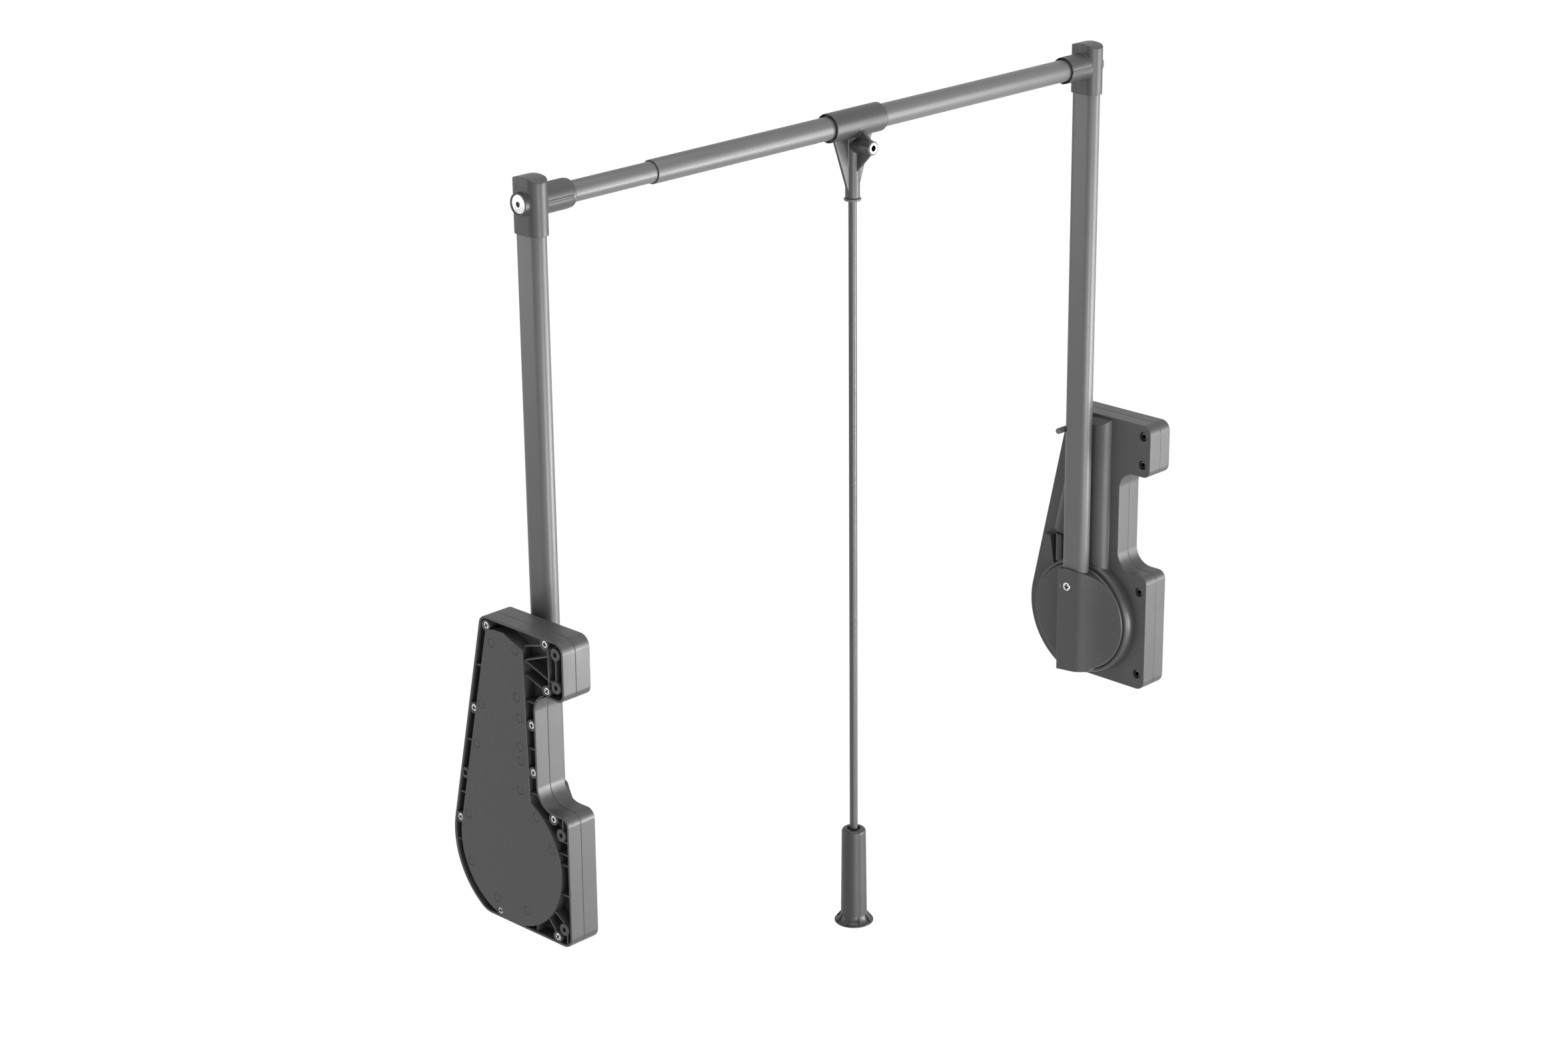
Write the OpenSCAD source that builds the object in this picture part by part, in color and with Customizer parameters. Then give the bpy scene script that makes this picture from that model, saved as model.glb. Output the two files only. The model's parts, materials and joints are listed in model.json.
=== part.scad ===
// Pull down closet rod: two wall housings, two swinging arms, a telescopic rod and a pull handle.
// The origin is the pivot of the arms on the left wall face, X runs along the rod, Y to the back.

/* [Rod] */
// Distance between the two wall faces
rod_span = 960; // [900:1:1100]
// Height of the rod axis above the arm pivots
rod_height = 672; // [600:1:800]
// Outside diameter of the outer tube
outer_tube_d = 25; // [24:0.5:26]
// Wall thickness of the outer tube
outer_tube_wall = 1.5; // [1.2:0.1:2]
// Wall thickness of the inner tube
inner_tube_wall = 1.5; // [1.2:0.1:2]
// Distance from the left wall face to the free end of the outer tube
outer_tube_start = 218; // [200:1:260]
// Length of inner tube that lies inside the outer tube
tube_overlap = 245; // [200:1:260]

/* [Arms] */
// Depth of the flat oval arm tube, front to back
arm_depth = 34.5; // [32:0.5:36]
// Thickness of the flat oval arm tube, along the rod
arm_thick = 18.5; // [17:0.5:19]
// Wall thickness of the arm tube
arm_wall = 1.6; // [1.2:0.1:2]
// Distance from the wall face to the middle of the arm
arm_offset = 58.25; // [58:0.25:60]

/* [Housing] */
// Height of a housing
case_height = 331; // [325:1:345]
// Height of the pivot above the bottom of the housing
pivot_height = 77; // [76:1:80]
// Distance from the front edge of the housing back to the pivot
pivot_to_front = 89.5; // [88:0.5:92]
// Radius of the round back of the housing about the pivot
case_round_r = 87; // [86:0.5:89]
// Slope of the straight back edge, in degrees
case_taper = 12.5; // [12:0.5:13]
// Thickness of a housing from the wall face to its inner face
case_width = 36.5; // [36:0.25:37]
// Depth of the back shell, from the wall face to the parting line
back_depth = 17; // [16.5:0.5:18]
// Thickness of the housing walls
case_wall = 2.5; // [2.2:0.1:2.8]

/* [Hub] */
// Radius of the turning hub
hub_r = 65.5; // [64:0.5:66]
// Height of the bearing ring and of the two humps above the inner face
ring_h = 12; // [11:0.25:12]
// Height of the arm socket above the inner face
socket_h = 34; // [33.5:0.25:35]

/* [Handle] */
// Distance from the left wall face to the pull rod
handle_x = 512; // [480:1:520]
// Diameter of the pull rod
pull_rod_d = 9; // [8:0.5:10]
// Height of the lower end of the grip below the pivots
grip_end = 260; // [200:1:320]
// Length of the grip
grip_length = 116; // [100:1:130]

/* [Hidden] */
$fn = 64;

// Colours
plastic_colour = [0.27, 0.28, 0.29];
tube_colour = [0.36, 0.37, 0.38];
steel_colour = [0.75, 0.76, 0.78];
dark_colour = [0.12, 0.12, 0.13];
brass_colour = [0.72, 0.62, 0.38];

// Clearances and the overrun of every cut
overrun = 1;
seat_gap = 0.1;
turn_gap = 0.05;
slide_gap = 0.2;
stop_gap = 0.3;
loose_gap = 1;

// A whole turn, in degrees
full_turn = 360;

// Outline of a housing
case_top = case_height - pivot_height;
case_depth = pivot_to_front + case_round_r;
front_corner_r = 12;
tab_corner_r = 10;
top_back_r = 10;
heel_r = 25;
upper_tab_height = 63.5;
lower_tab_top = 67;
notch_depth = 44;
notch_top_r = 20;
notch_low_r = 22;
corner_steps = 8;
round_steps = 36;
front_edge = -pivot_to_front;
upper_tab_z = case_top - upper_tab_height;
notch_y = front_edge + notch_depth;

// Raised panel on the wall side
channel_gap = 10.5;
panel_r = case_round_r - channel_gap;
panel_edge_y = -33;
panel_top_shares = [[24.9, 0.953], [14, 0.966], [-1.5, 0.968], [-29.5, 0.933]];

// Case screws: their inset from the edges, their places along the notch and along the slanted edge,
// and their places in depth as shares of the housing
screw_inset = 7;
notch_screw_shares = [0.287, 0.704];
slant_screw_shares = [0.002, 0.527];
top_screw_share = 0.155;
tab_screw_share = 0.15;
ledge_screw_share = 0.13;
bottom_screw_shares = [0.127, 0.623];
wall_hole_inset = 11.5;
wall_hole_top_inset = 13.5;
wall_hole_pitch = 35;
wall_hole_low_inset = 20.5;
wall_hole_bottom_inset = 19;
wall_hole_heights = [
    case_top - wall_hole_top_inset, case_top - wall_hole_top_inset - wall_hole_pitch,
    lower_tab_top - wall_hole_low_inset, wall_hole_bottom_inset - pivot_height
];

// Ribs of the wall side, each from one share point to another
rib_shares = [
    [[0.325, 0.95], [0.155, 0.976]], [[0.32, 0.906], [0.13, 0.944]],
    [[0.32, 0.903], [0.08, 0.858]], [[0.32, 0.857], [0.15, 0.827]],
    [[0.13, 0.845], [0.13, 0.96]], [[0.068, 0.85], [0.068, 0.96]],
    [[0.32, 0.773], [0.24, 0.773]], [[0.32, 0.62], [0.26, 0.62]], [[0.32, 0.473], [0.24, 0.473]],
    [[0.054, 0.37], [0.054, 0.435]], [[0.09, 0.353], [0.008, 0.353]], [[0.09, 0.311], [0.008, 0.311]],
    [[0.08, 0.275], [0.008, 0.275]], [[0.08, 0.174], [0.008, 0.174]],
    [[0.16, 0.11], [0.07, 0.078]], [[0.21, 0.08], [0.13, 0.03]],
    [[0.306, 0.008], [0.306, 0.05]], [[0.045, 0.008], [0.045, 0.06]]
];
back_rib_shares = [0.83, 0.567, 0.378, 0.209];
rib_wall = 1.6;
rib_recess = 1.2;
rib_share_margin = 0.1;

// Moulding marks on the panel
mark_d = 9.6;
mark_depth = 0.3;
mark_shares = [
    [0.6, 0.921], [0.4, 0.925], [0.4, 0.773], [0.71, 0.704], [0.385, 0.707], [0.385, 0.613],
    [0.385, 0.566], [0.765, 0.565], [0.4, 0.467], [0.27, 0.4], [0.87, 0.31], [0.15, 0.31],
    [0.86, 0.15], [0.64, 0.065], [0.38, 0.065]
];

// Case screws and their bosses
screw_d = 3.5;
screw_head_d = 8;
screw_head_h = 2.2;
screw_sink = 1;
screw_tip_gap = 6.5;
screw_end = case_width - screw_tip_gap;
boss_d = 12;
boss_recess = 0.8;
cross_w = 1.1;
cross_share = 0.62;
spare_hole_d = 6;

// Wall screw bushings
bushing_d = 8;
bushing_bore_d = 5.2;
mount_boss_d = 13;
mount_recess_d = 11;
mount_recess_h = 4.5;
bushing_set = 5;
bushing_dome_d = 9.6;
bushing_dome_h = 2.4;
bushing_lip = 0.3;

// Bearing ring round the hub
ring_gap = 0.8;
ring_foot_w = 6.2;
ring_top_w = 2.2;
ring_steps = 8;

// Rack and pinion drive
swing_angle = 100;
gear_module = 2;
pinion_teeth = 20;
pressure_angle = 20;
tooth_gap = 0.25;
root_share = 1.25;
flank_steps = 4;
gear_from = 7;
gear_to = 17;
pitch_r = gear_module * pinion_teeth / 2;
gear_pitch = PI * gear_module;
swing_travel = pitch_r * swing_angle * PI / 180;
rack_back_w = 6.5;
rack_back_y = pitch_r + root_share * gear_module + rack_back_w;
guide_w = 3;
guide_length = 44;
rack_reach = 30;
rack_teeth_up = 9;
rack_teeth_down = 3;
damper_teeth_up = 3;
damper_teeth_down = 8;
damper_rack_reach = 55;

// Column hump, lift spring, its seat and its anchor
column_r = 20;
column_y = -13.5;
column_x = case_width + ring_h - column_r;
column_top_gap = 3;
column_top = case_top - column_top_gap;
column_end_slope = 30;
column_low_share = 0.9;
spring_floor = hub_r + ring_gap + ring_foot_w + loose_gap;
spring_d = 26;
spring_bore_d = 19;
spring_shift = 2.5;
spring_x = column_x + spring_shift;
spring_seat_h = 4;
spring_stud_h = 10;
spring_stud_d = 18;
spring_low = spring_floor + swing_travel + spring_seat_h + loose_gap;
shelf_h = 3;
anchor_h = 4;
anchor_drop = 13;
anchor_z = column_top - anchor_drop;

// Slanted hump and damper, in the slanted frame of the back edge
damper_offset = 56;
damper_hump_r = 14;
damper_hump_from = 88;
damper_hump_x = case_width + ring_h - damper_hump_r;
yoke_low = 48;
yoke_h = 8;
yoke_reach = 6;
yoke_room = 1;
damper_x = case_width - case_wall - yoke_room - yoke_reach;
damper_r = 10;
damper_end_gap = 12;
damper_length = 100;
stroke_spare = 7;
damper_from = yoke_low + yoke_h + swing_travel + stroke_spare;
damper_to = damper_from + damper_length;
damper_hump_to = damper_to + damper_end_gap;
damper_rod_d = 7;
damper_cap_h = 8;
damper_rod_to = damper_to - damper_cap_h - swing_travel - loose_gap;
cradle_inset = 10;
cradle_w = 4;
cradle_x = 20;

// Small stops on the inner face, their places as shares of the hub radius
wedge_h = 10;
wedge_shares = [[0.766, 1.369], [0.667, 0.835], [0.954, 0.885], [0.931, 1.369]];
post_r = 6;
post_h = 5;
post_share = [0.573, 1.183];
post_length = 34;
spare_hole_share = [1.023, 1.084];

// Hub, arm socket and shaft
hub_face_h = 15;
hub_lift = 1.3;
socket_back_y = 18.4;
socket_front_y = -12;
socket_top_r = 64.5;
socket_low = 67;
socket_tab_shares = [[-0.366, -0.962], [-0.55, -0.763]];
socket_round = 6;
socket_round_steps = 6;
sweep_power = 2.2;
sweep_steps = 12;
hub_edge = 1.2;
arm_start = 14;
hub_boss_d = 24;
hub_boss_end = 19;
bearing_wall = 3;
bearing_flange_d = 36;
bearing_flange_h = 1;
bearing_length = 14.5;
bearing_from = case_width - bearing_length;
bearing_housing_d = 38;
axle_d = 14;
axle_flat = 5;
axle_from = 3.6;
axle_reach = 9.5;
axle_to = case_width + axle_reach;
axle_boss_d = 22;
axle_boss_h = 6.6;
ring_groove_w = 1.4;
ring_groove_x = bearing_from - stop_gap - ring_groove_w;
ring_groove_d = 21;
ring_thick = 1.2;
ring_outer_d = 29;

// Screw that holds the arm in the hub
arm_screw_y = 5;
arm_screw_z = 41.5;
arm_screw_d = 5;
arm_screw_head_d = 11;
arm_screw_head_h = 2.4;
arm_screw_floor = 4;
arm_screw_end = case_width + arm_screw_floor;
screw_dish_d = 19;
screw_dish_h = 1.5;

// Stop pin behind the arm
stop_drop = 20;
stop_z = case_top - stop_drop;
stop_d = 7;
stop_core_d = 5;
stop_reach = 36;
stop_from = 24;
stop_boss_d = 11;
stop_tip_h = 2;
stop_y = arm_depth / 2 + stop_d / 2 + stop_gap;

// Corner caps
cap_wall = 2.2;
cap_low = 32;
cap_high = 26;
cap_crown = 4.5;
collar_d = 30.5;
collar_end = 101.5;
collar_rib_w = 1.2;
collar_rib_h = 0.7;
rod_bore_inset = 1.75;
rod_bore_from = arm_offset + rod_bore_inset;
arm_top_gap = 17;
cap_boss_d = 23;
cap_boss_h = 5.3;
corner_head_d = 19;
corner_head_h = 2.6;
corner_head_sink = 0.6;
corner_screw_d = 8;
corner_screw_reach = 20;
corner_screw_end = rod_bore_from + corner_screw_reach;
socket_key_d = 5;
socket_key_h = 1.8;
plug_inset = 2;
plug_length = 24;
plug_from = rod_bore_from + plug_inset;
plug_to = plug_from + plug_length;
bush_lip_d = 30;
bush_lip_w = 4.7;
mouth_d = 27.8;
mouth_h = 3;

// Handle
sleeve_d = 31.5;
sleeve_length = 78;
sleeve_mouth_d = 29;
sleeve_mouth_h = 5;
liner_wall = 1;
liner_lip_w = 1.2;
liner_lip_gap = 0.4;
stem_d = 15.8;
stem_drop = 81;
gusset_half_w = 29;
gusset_w = 3.5;
gusset_drop = 79;
boss_drop = 23.2;
handle_boss_d = 15.4;
handle_boss_reach = 30;
fin_top_y = 13.5;
fin_top_drop = 4;
fin_low_drop = 51.5;
fin_end_inset = 2;
fin_side_inset = 1;
insert_d = 11.6;
insert_bore_d = 6.8;
insert_length = 16;
insert_proud = 0.4;
stem_insert_d = 9;
stud_d = 6.6;
stud_length = 15;
collar_ring_d = 18.8;
collar_ring_h = 3;
grip_top_d = 27.5;
grip_low_d = 30.5;
grip_flare_d = 44.5;
grip_flare_h = 11;
grip_lip_h = 1.6;
grip_edge_r = 4;
grip_hole_d = 15;
grip_hole_h = 4;
grip_inside_d = 24;
grip_inside_h = 48;
grip_rib_count = 8;
grip_rib_phase = 0.39;
grip_rib_w = 1.2;
grip_web_h = 12;
grip_screw_d = 5;
grip_screw_head_d = 9;
grip_screw_head_h = 3;
grip_screw_grab = 14;

// Points along an arc
function arc_points(centre, radius, from, to, steps) = [
    for (i = [0:steps])
        let (turn = from + (to - from) * i / steps)
        [centre[0] + radius * cos(turn), centre[1] + radius * sin(turn)]
];

// A place on the housing, from shares of its depth and height
function case_point(share) =
    [share[0] * case_depth - pivot_to_front, share[1] * case_height - pivot_height];

// Directions of the slanted back edge
slant_out = [cos(case_taper), sin(case_taper)];

// Outline of the housing, drawn inwards by inset
heel_z = heel_r - pivot_height;
heel_y = sqrt(pow(case_round_r - heel_r, 2) - heel_z * heel_z);
heel_turn = atan2(heel_z, heel_y);
top_back_z = case_top - top_back_r;
top_back_y = (case_round_r - top_back_r - top_back_z * slant_out[1]) / slant_out[0];
function case_outline(inset) = concat(
    arc_points([front_edge + front_corner_r, front_corner_r - pivot_height], front_corner_r - inset,
        180, 270, corner_steps),
    arc_points([heel_y, heel_z], heel_r - inset, 270, full_turn + heel_turn, corner_steps),
    arc_points([0, 0], case_round_r - inset, heel_turn, case_taper, round_steps),
    arc_points([top_back_y, top_back_z], top_back_r - inset, case_taper, 90, corner_steps),
    arc_points([front_edge + front_corner_r, case_top - front_corner_r], front_corner_r - inset,
        90, 180, corner_steps),
    arc_points([front_edge + tab_corner_r, upper_tab_z + tab_corner_r], tab_corner_r - inset,
        180, 270, corner_steps),
    arc_points([notch_y - notch_top_r, upper_tab_z - notch_top_r], notch_top_r + inset,
        90, 0, corner_steps),
    arc_points([notch_y - notch_low_r, lower_tab_top + notch_low_r], notch_low_r + inset,
        0, -90, corner_steps),
    arc_points([front_edge + tab_corner_r, lower_tab_top - tab_corner_r], tab_corner_r - inset,
        90, 180, corner_steps)
);

// Outline of the raised panel, drawn inwards by inset
function panel_outline(inset) =
    let (
        r = panel_r - inset,
        edge_y = panel_edge_y + inset,
        edge_turn = 180 - acos(-edge_y / r),
        top_z = panel_top_shares[0][1] * case_height - pivot_height - inset
    )
    concat(
        arc_points([0, 0], r, edge_turn, full_turn + case_taper, 2 * round_steps),
        [[(r - top_z * slant_out[1]) / slant_out[0], top_z]],
        [for (i = [1:2]) [
            panel_top_shares[i][0],
            panel_top_shares[i][1] * case_height - pivot_height - inset
        ]],
        [[panel_top_shares[3][0] + inset, panel_top_shares[3][1] * case_height - pivot_height - inset]]
    );

// An outline in Y and Z, drawn out along X
module along_x(from, to) {
    translate([from, 0, 0]) rotate([90, 0, 90]) linear_extrude(to - from) children();
}

// A round bar along X at a place in Y and Z
module bar_x(d, from, to, at = [0, 0]) {
    translate([from, at[0], at[1]]) rotate([0, 90, 0]) cylinder(d = d, h = to - from);
}

// A stadium prism along Z about the arm axis
module arm_prism(grow, from, to) {
    span = arm_depth - arm_thick;
    translate([arm_offset, 0, from]) linear_extrude(to - from) union() {
        square([arm_thick + 2 * grow, span], center = true);
        for (side = [-1, 1]) translate([0, side * span / 2]) circle(d = arm_thick + 2 * grow);
    }
}

// The frame of the slanted back edge: Y outwards from the pivot, Z along the edge
module slanted() {
    rotate([case_taper, 0, 0]) children();
}

// Left parts are drawn as they are, right parts are their mirror image
module on_left() {
    children();
}
module on_right() {
    translate([rod_span, 0, 0]) mirror([1, 0, 0]) children();
}

// A cross recess cut into a screw head, its open side towards higher X
module cross_recess(d, depth, x, at) {
    for (turn = [0, 90]) translate([x, at[0], at[1]]) rotate([turn, 0, 0])
        translate([-depth, -d * cross_share / 2, -cross_w / 2])
            cube([depth + overrun, d * cross_share, cross_w]);
}

// One rib in the channel of the back shell
module channel_rib(from, to) {
    run = to - from;
    translate([rib_recess, from[0], from[1]]) rotate([atan2(run[1], run[0]), 0, 0])
        translate([0, 0, -rib_wall / 2]) cube([back_depth - rib_recess, norm(run), rib_wall]);
}

// Places of the case screws
slant_along = [-slant_out[1], slant_out[0]];
notch_height = upper_tab_z - lower_tab_top;
screw_places = concat(
    [
        [top_back_y, top_back_z],
        [case_point([top_screw_share, 0])[0], case_top - screw_inset],
        [case_point([tab_screw_share, 0])[0], upper_tab_z + screw_inset],
        [case_point([ledge_screw_share, 0])[0], lower_tab_top - screw_inset]
    ],
    [for (share = notch_screw_shares) [notch_y + screw_inset, lower_tab_top + share * notch_height]],
    [for (share = slant_screw_shares)
        (case_round_r - screw_inset) * slant_out + share * case_top * slant_along],
    [for (share = bottom_screw_shares) [case_point([share, 0])[0], screw_inset - pivot_height]]
);
wall_hole_y = front_edge + wall_hole_inset;

module back_shell() color(plastic_colour) {
    under_damper = damper_x - damper_r - seat_gap;
    difference() {
        union() {
            along_x(0, back_depth) difference() {
                polygon(case_outline(0));
                polygon(case_outline(case_wall));
            }
            along_x(back_depth - case_wall, back_depth) polygon(case_outline(case_wall / 2));
            along_x(0, back_depth) polygon(panel_outline(0));
            intersection() {
                along_x(0, back_depth) polygon(case_outline(case_wall / 2));
                union() {
                    for (rib = rib_shares) channel_rib(case_point(rib[0]), case_point(rib[1]));
                    for (share = back_rib_shares) let (z = share * case_height - pivot_height)
                        channel_rib([(panel_r - z * slant_out[1]) / slant_out[0] - rib_wall, z],
                            [(case_round_r - z * slant_out[1]) / slant_out[0], z]);
                    for (at = screw_places) bar_x(boss_d, boss_recess, back_depth, at);
                    bar_x(boss_d, boss_recess, back_depth, hub_r * spare_hole_share);
                    for (z = wall_hole_heights) bar_x(mount_boss_d, 0, back_depth, [wall_hole_y, z]);
                }
            }
        }
        difference() {
            along_x(case_wall, back_depth + overrun) polygon(panel_outline(case_wall));
            bar_x(axle_boss_d, 0, axle_boss_h);
            rack_guides(0);
            slanted() for (s = [damper_from + cradle_inset, damper_to - cradle_inset - cradle_w])
                translate([0, damper_offset - damper_r, s]) cube([under_damper, 2 * damper_r, cradle_w]);
        }
        bar_x(axle_d + 2 * turn_gap, axle_from - seat_gap, back_depth);
        for (at = screw_places) {
            bar_x(screw_d + 2 * seat_gap, -overrun, back_depth + overrun, at);
            bar_x(screw_head_d + 2 * slide_gap, -overrun, screw_sink + screw_head_h, at);
        }
        bar_x(spare_hole_d, -overrun, back_depth + overrun, hub_r * spare_hole_share);
        for (z = wall_hole_heights) {
            bar_x(bushing_bore_d, -overrun, back_depth, [wall_hole_y, z]);
            bar_x(bushing_d + 2 * turn_gap, bushing_set - seat_gap, back_depth + overrun, [wall_hole_y, z]);
        }
        for (share = mark_shares) bar_x(mark_d, -overrun, mark_depth, case_point(share));
    }
}

// Walls of the back shell that keep both racks in mesh
module rack_guides(from) {
    translate([from, -rack_back_y - slide_gap - guide_w, -guide_length / 2])
        cube([back_depth - from, guide_w, guide_length]);
    slanted() translate([from, rack_back_y + slide_gap, -guide_length / 2])
        cube([back_depth - from, guide_w, guide_length]);
}

module front_shell() color(plastic_colour) {
    face = case_width - case_wall;
    inner_r = column_r - case_wall;
    cradle_bars = [damper_from + cradle_inset, damper_to - cradle_inset - cradle_w];
    difference() {
        union() {
            difference() {
                union() {
                    along_x(back_depth, case_width) difference() {
                        polygon(case_outline(0));
                        polygon(case_outline(case_wall));
                    }
                    along_x(face, case_width) polygon(case_outline(case_wall / 2));
                    difference() {
                        half_hump(column_r, column_x, column_y, face, hub_r * column_low_share,
                            column_top, column_end_slope);
                        bar_x(2 * (spring_floor - case_wall), 0, case_width + ring_h + overrun);
                    }
                    slanted() half_hump(damper_hump_r, damper_hump_x, damper_offset, face,
                        damper_hump_from, damper_hump_to);
                    bearing_ring();
                }
                half_hump(inner_r, column_x, column_y, back_depth, spring_floor, anchor_z - shelf_h);
                half_hump(inner_r, column_x, column_y, back_depth, anchor_z,
                    column_top - case_wall - overrun, column_end_slope);
                slanted() half_hump(damper_hump_r - case_wall, damper_hump_x, damper_offset, back_depth,
                    damper_hump_from + case_wall, damper_hump_to - case_wall);
            }
            along_x(face, case_width + wedge_h) polygon(hub_r * wedge_shares);
            rib_post();
            bar_x(bearing_housing_d, bearing_from, case_width);
            bar_x(stop_boss_d, stop_from, case_width, [stop_y, stop_z]);
            for (at = screw_places) bar_x(boss_d - case_wall, back_depth, case_width - overrun, at);
            for (z = wall_hole_heights)
                bar_x(mount_boss_d, back_depth, case_width - overrun, [wall_hole_y, z]);
            bar_x(boss_d - case_wall, back_depth, case_width - overrun, hub_r * spare_hole_share);
            translate([back_depth, column_y - inner_r, anchor_z - shelf_h])
                cube([face - back_depth + overrun, 2 * inner_r, shelf_h]);
            slanted() for (s = cradle_bars) damper_cradle(s);
        }
        bar_x(2 * (hub_r + ring_gap), case_width, case_width + socket_h);
        translate([spring_x, column_y, anchor_z - shelf_h - overrun]) {
            cylinder(d = spring_d + 2 * stop_gap, h = shelf_h + 2 * overrun);
            translate([-spring_x, -spring_d / 2 - stop_gap, 0])
                cube([spring_x, spring_d + 2 * stop_gap, shelf_h + 2 * overrun]);
        }
        slanted() translate([damper_x, damper_offset, damper_from - overrun]) {
            cylinder(r = damper_r + seat_gap, h = damper_to - damper_from + 2 * overrun);
            translate([-damper_x, -damper_r - seat_gap, 0])
                cube([damper_x, 2 * (damper_r + seat_gap), damper_to - damper_from + 2 * overrun]);
        }
        bar_x(hub_boss_d + 2 * (bearing_wall + turn_gap), bearing_from - overrun, case_width + overrun);
        bar_x(stop_core_d + 2 * turn_gap, stop_from + stop_tip_h, case_width + overrun, [stop_y, stop_z]);
        for (at = screw_places)
            bar_x(screw_d + 2 * turn_gap, back_depth - overrun, screw_end + overrun, at);
        for (z = wall_hole_heights) {
            bar_x(bushing_d + 2 * turn_gap, back_depth - overrun, case_width + overrun, [wall_hole_y, z]);
            bar_x(mount_recess_d, case_width - mount_recess_h, case_width + overrun, [wall_hole_y, z]);
        }
        bar_x(spare_hole_d, back_depth - overrun, case_width + wedge_h + overrun, hub_r * spare_hole_share);
    }
}

// Half round post on the inner face
module rib_post() {
    at = hub_r * post_share;
    translate([case_width, at[0], at[1] - post_length / 2]) {
        translate([-overrun, -post_r, 0]) cube([post_h + overrun, 2 * post_r, post_length]);
        translate([post_h, 0, 0]) cylinder(r = post_r, h = post_length);
    }
}

// Rounded ring that surrounds the hub
module bearing_ring() {
    inner = hub_r + ring_gap;
    crest = inner + ring_top_w;
    foot = inner + ring_foot_w;
    rotate([0, 90, 0]) rotate_extrude($fn = 128) polygon(concat(
        [[inner, case_width - case_wall], [foot, case_width - case_wall]],
        [for (i = [0:ring_steps]) let (turn = 90 * i / ring_steps)
            [crest + (foot - crest) * cos(turn), case_width + ring_h * sin(turn)]],
        [[inner, case_width + ring_h]]
    ));
}

// Part of an upright round bar above a face, its upper end sloping down with X
module half_hump(r, x, y, from_x, low, high, slope = 0) {
    difference() {
        translate([x, y, low]) cylinder(r = r, h = high - low);
        translate([from_x - 2 * case_width, y - 2 * r, low - overrun])
            cube([2 * case_width, 4 * r, high - low + 2 * overrun]);
        translate([case_width, y - 2 * r, high]) rotate([0, slope, 0]) cube([4 * r, 4 * r, 2 * r]);
    }
}

// Plate that carries the damper cylinder
module damper_cradle(s) {
    r = damper_hump_r - case_wall / 2;
    translate([cradle_x, damper_offset - r, s]) cube([damper_hump_x - cradle_x, 2 * r, cradle_w]);
    half_hump(r, damper_hump_x, damper_offset, damper_hump_x, s, s + cradle_w);
}

module case_screws() color(steel_colour) {
    for (at = screw_places) difference() {
        union() {
            bar_x(screw_head_d, screw_sink, screw_sink + screw_head_h, at);
            bar_x(screw_d, screw_sink, screw_end, at);
        }
        translate([2 * screw_sink, 0, 0]) mirror([1, 0, 0])
            cross_recess(screw_head_d, screw_head_h / 2, screw_sink, at);
    }
}

// Bushings with a domed end that the heads of the wall screws rest on
module wall_bushings() color(steel_colour) {
    bore_r = bushing_bore_d / 2;
    seat = case_width - mount_recess_h + seat_gap;
    dome_w = bushing_dome_d / 2 - bore_r - bushing_lip;
    for (z = wall_hole_heights) translate([0, wall_hole_y, z]) rotate([0, 90, 0])
        rotate_extrude() polygon(concat(
            [[bore_r, bushing_set], [bushing_d / 2, bushing_set], [bushing_d / 2, seat]],
            [for (i = [0:corner_steps]) let (turn = 90 * i / corner_steps)
                [bore_r + bushing_lip + dome_w * cos(turn), seat + bushing_dome_h * sin(turn)]],
            [[bore_r, seat + bushing_dome_h - bushing_lip]]
        ));
}

// Height of the swept arm socket above the wall face at a place in Y
function sweep_x(y) = case_width + hub_face_h
    + (socket_h - hub_face_h) * pow(1 - (socket_front_y - y) / (socket_front_y + hub_r), sweep_power);

// The rounded crest between the flat of the arm socket and its sweep, from 0 to 1
crest_end_y = socket_front_y - socket_round;
function crest_point(t) =
    let (top = case_width + socket_h)
    (1 - t) * (1 - t) * [top, socket_front_y + socket_round]
        + 2 * t * (1 - t) * [top, socket_front_y] + t * t * [sweep_x(crest_end_y), crest_end_y];

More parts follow.
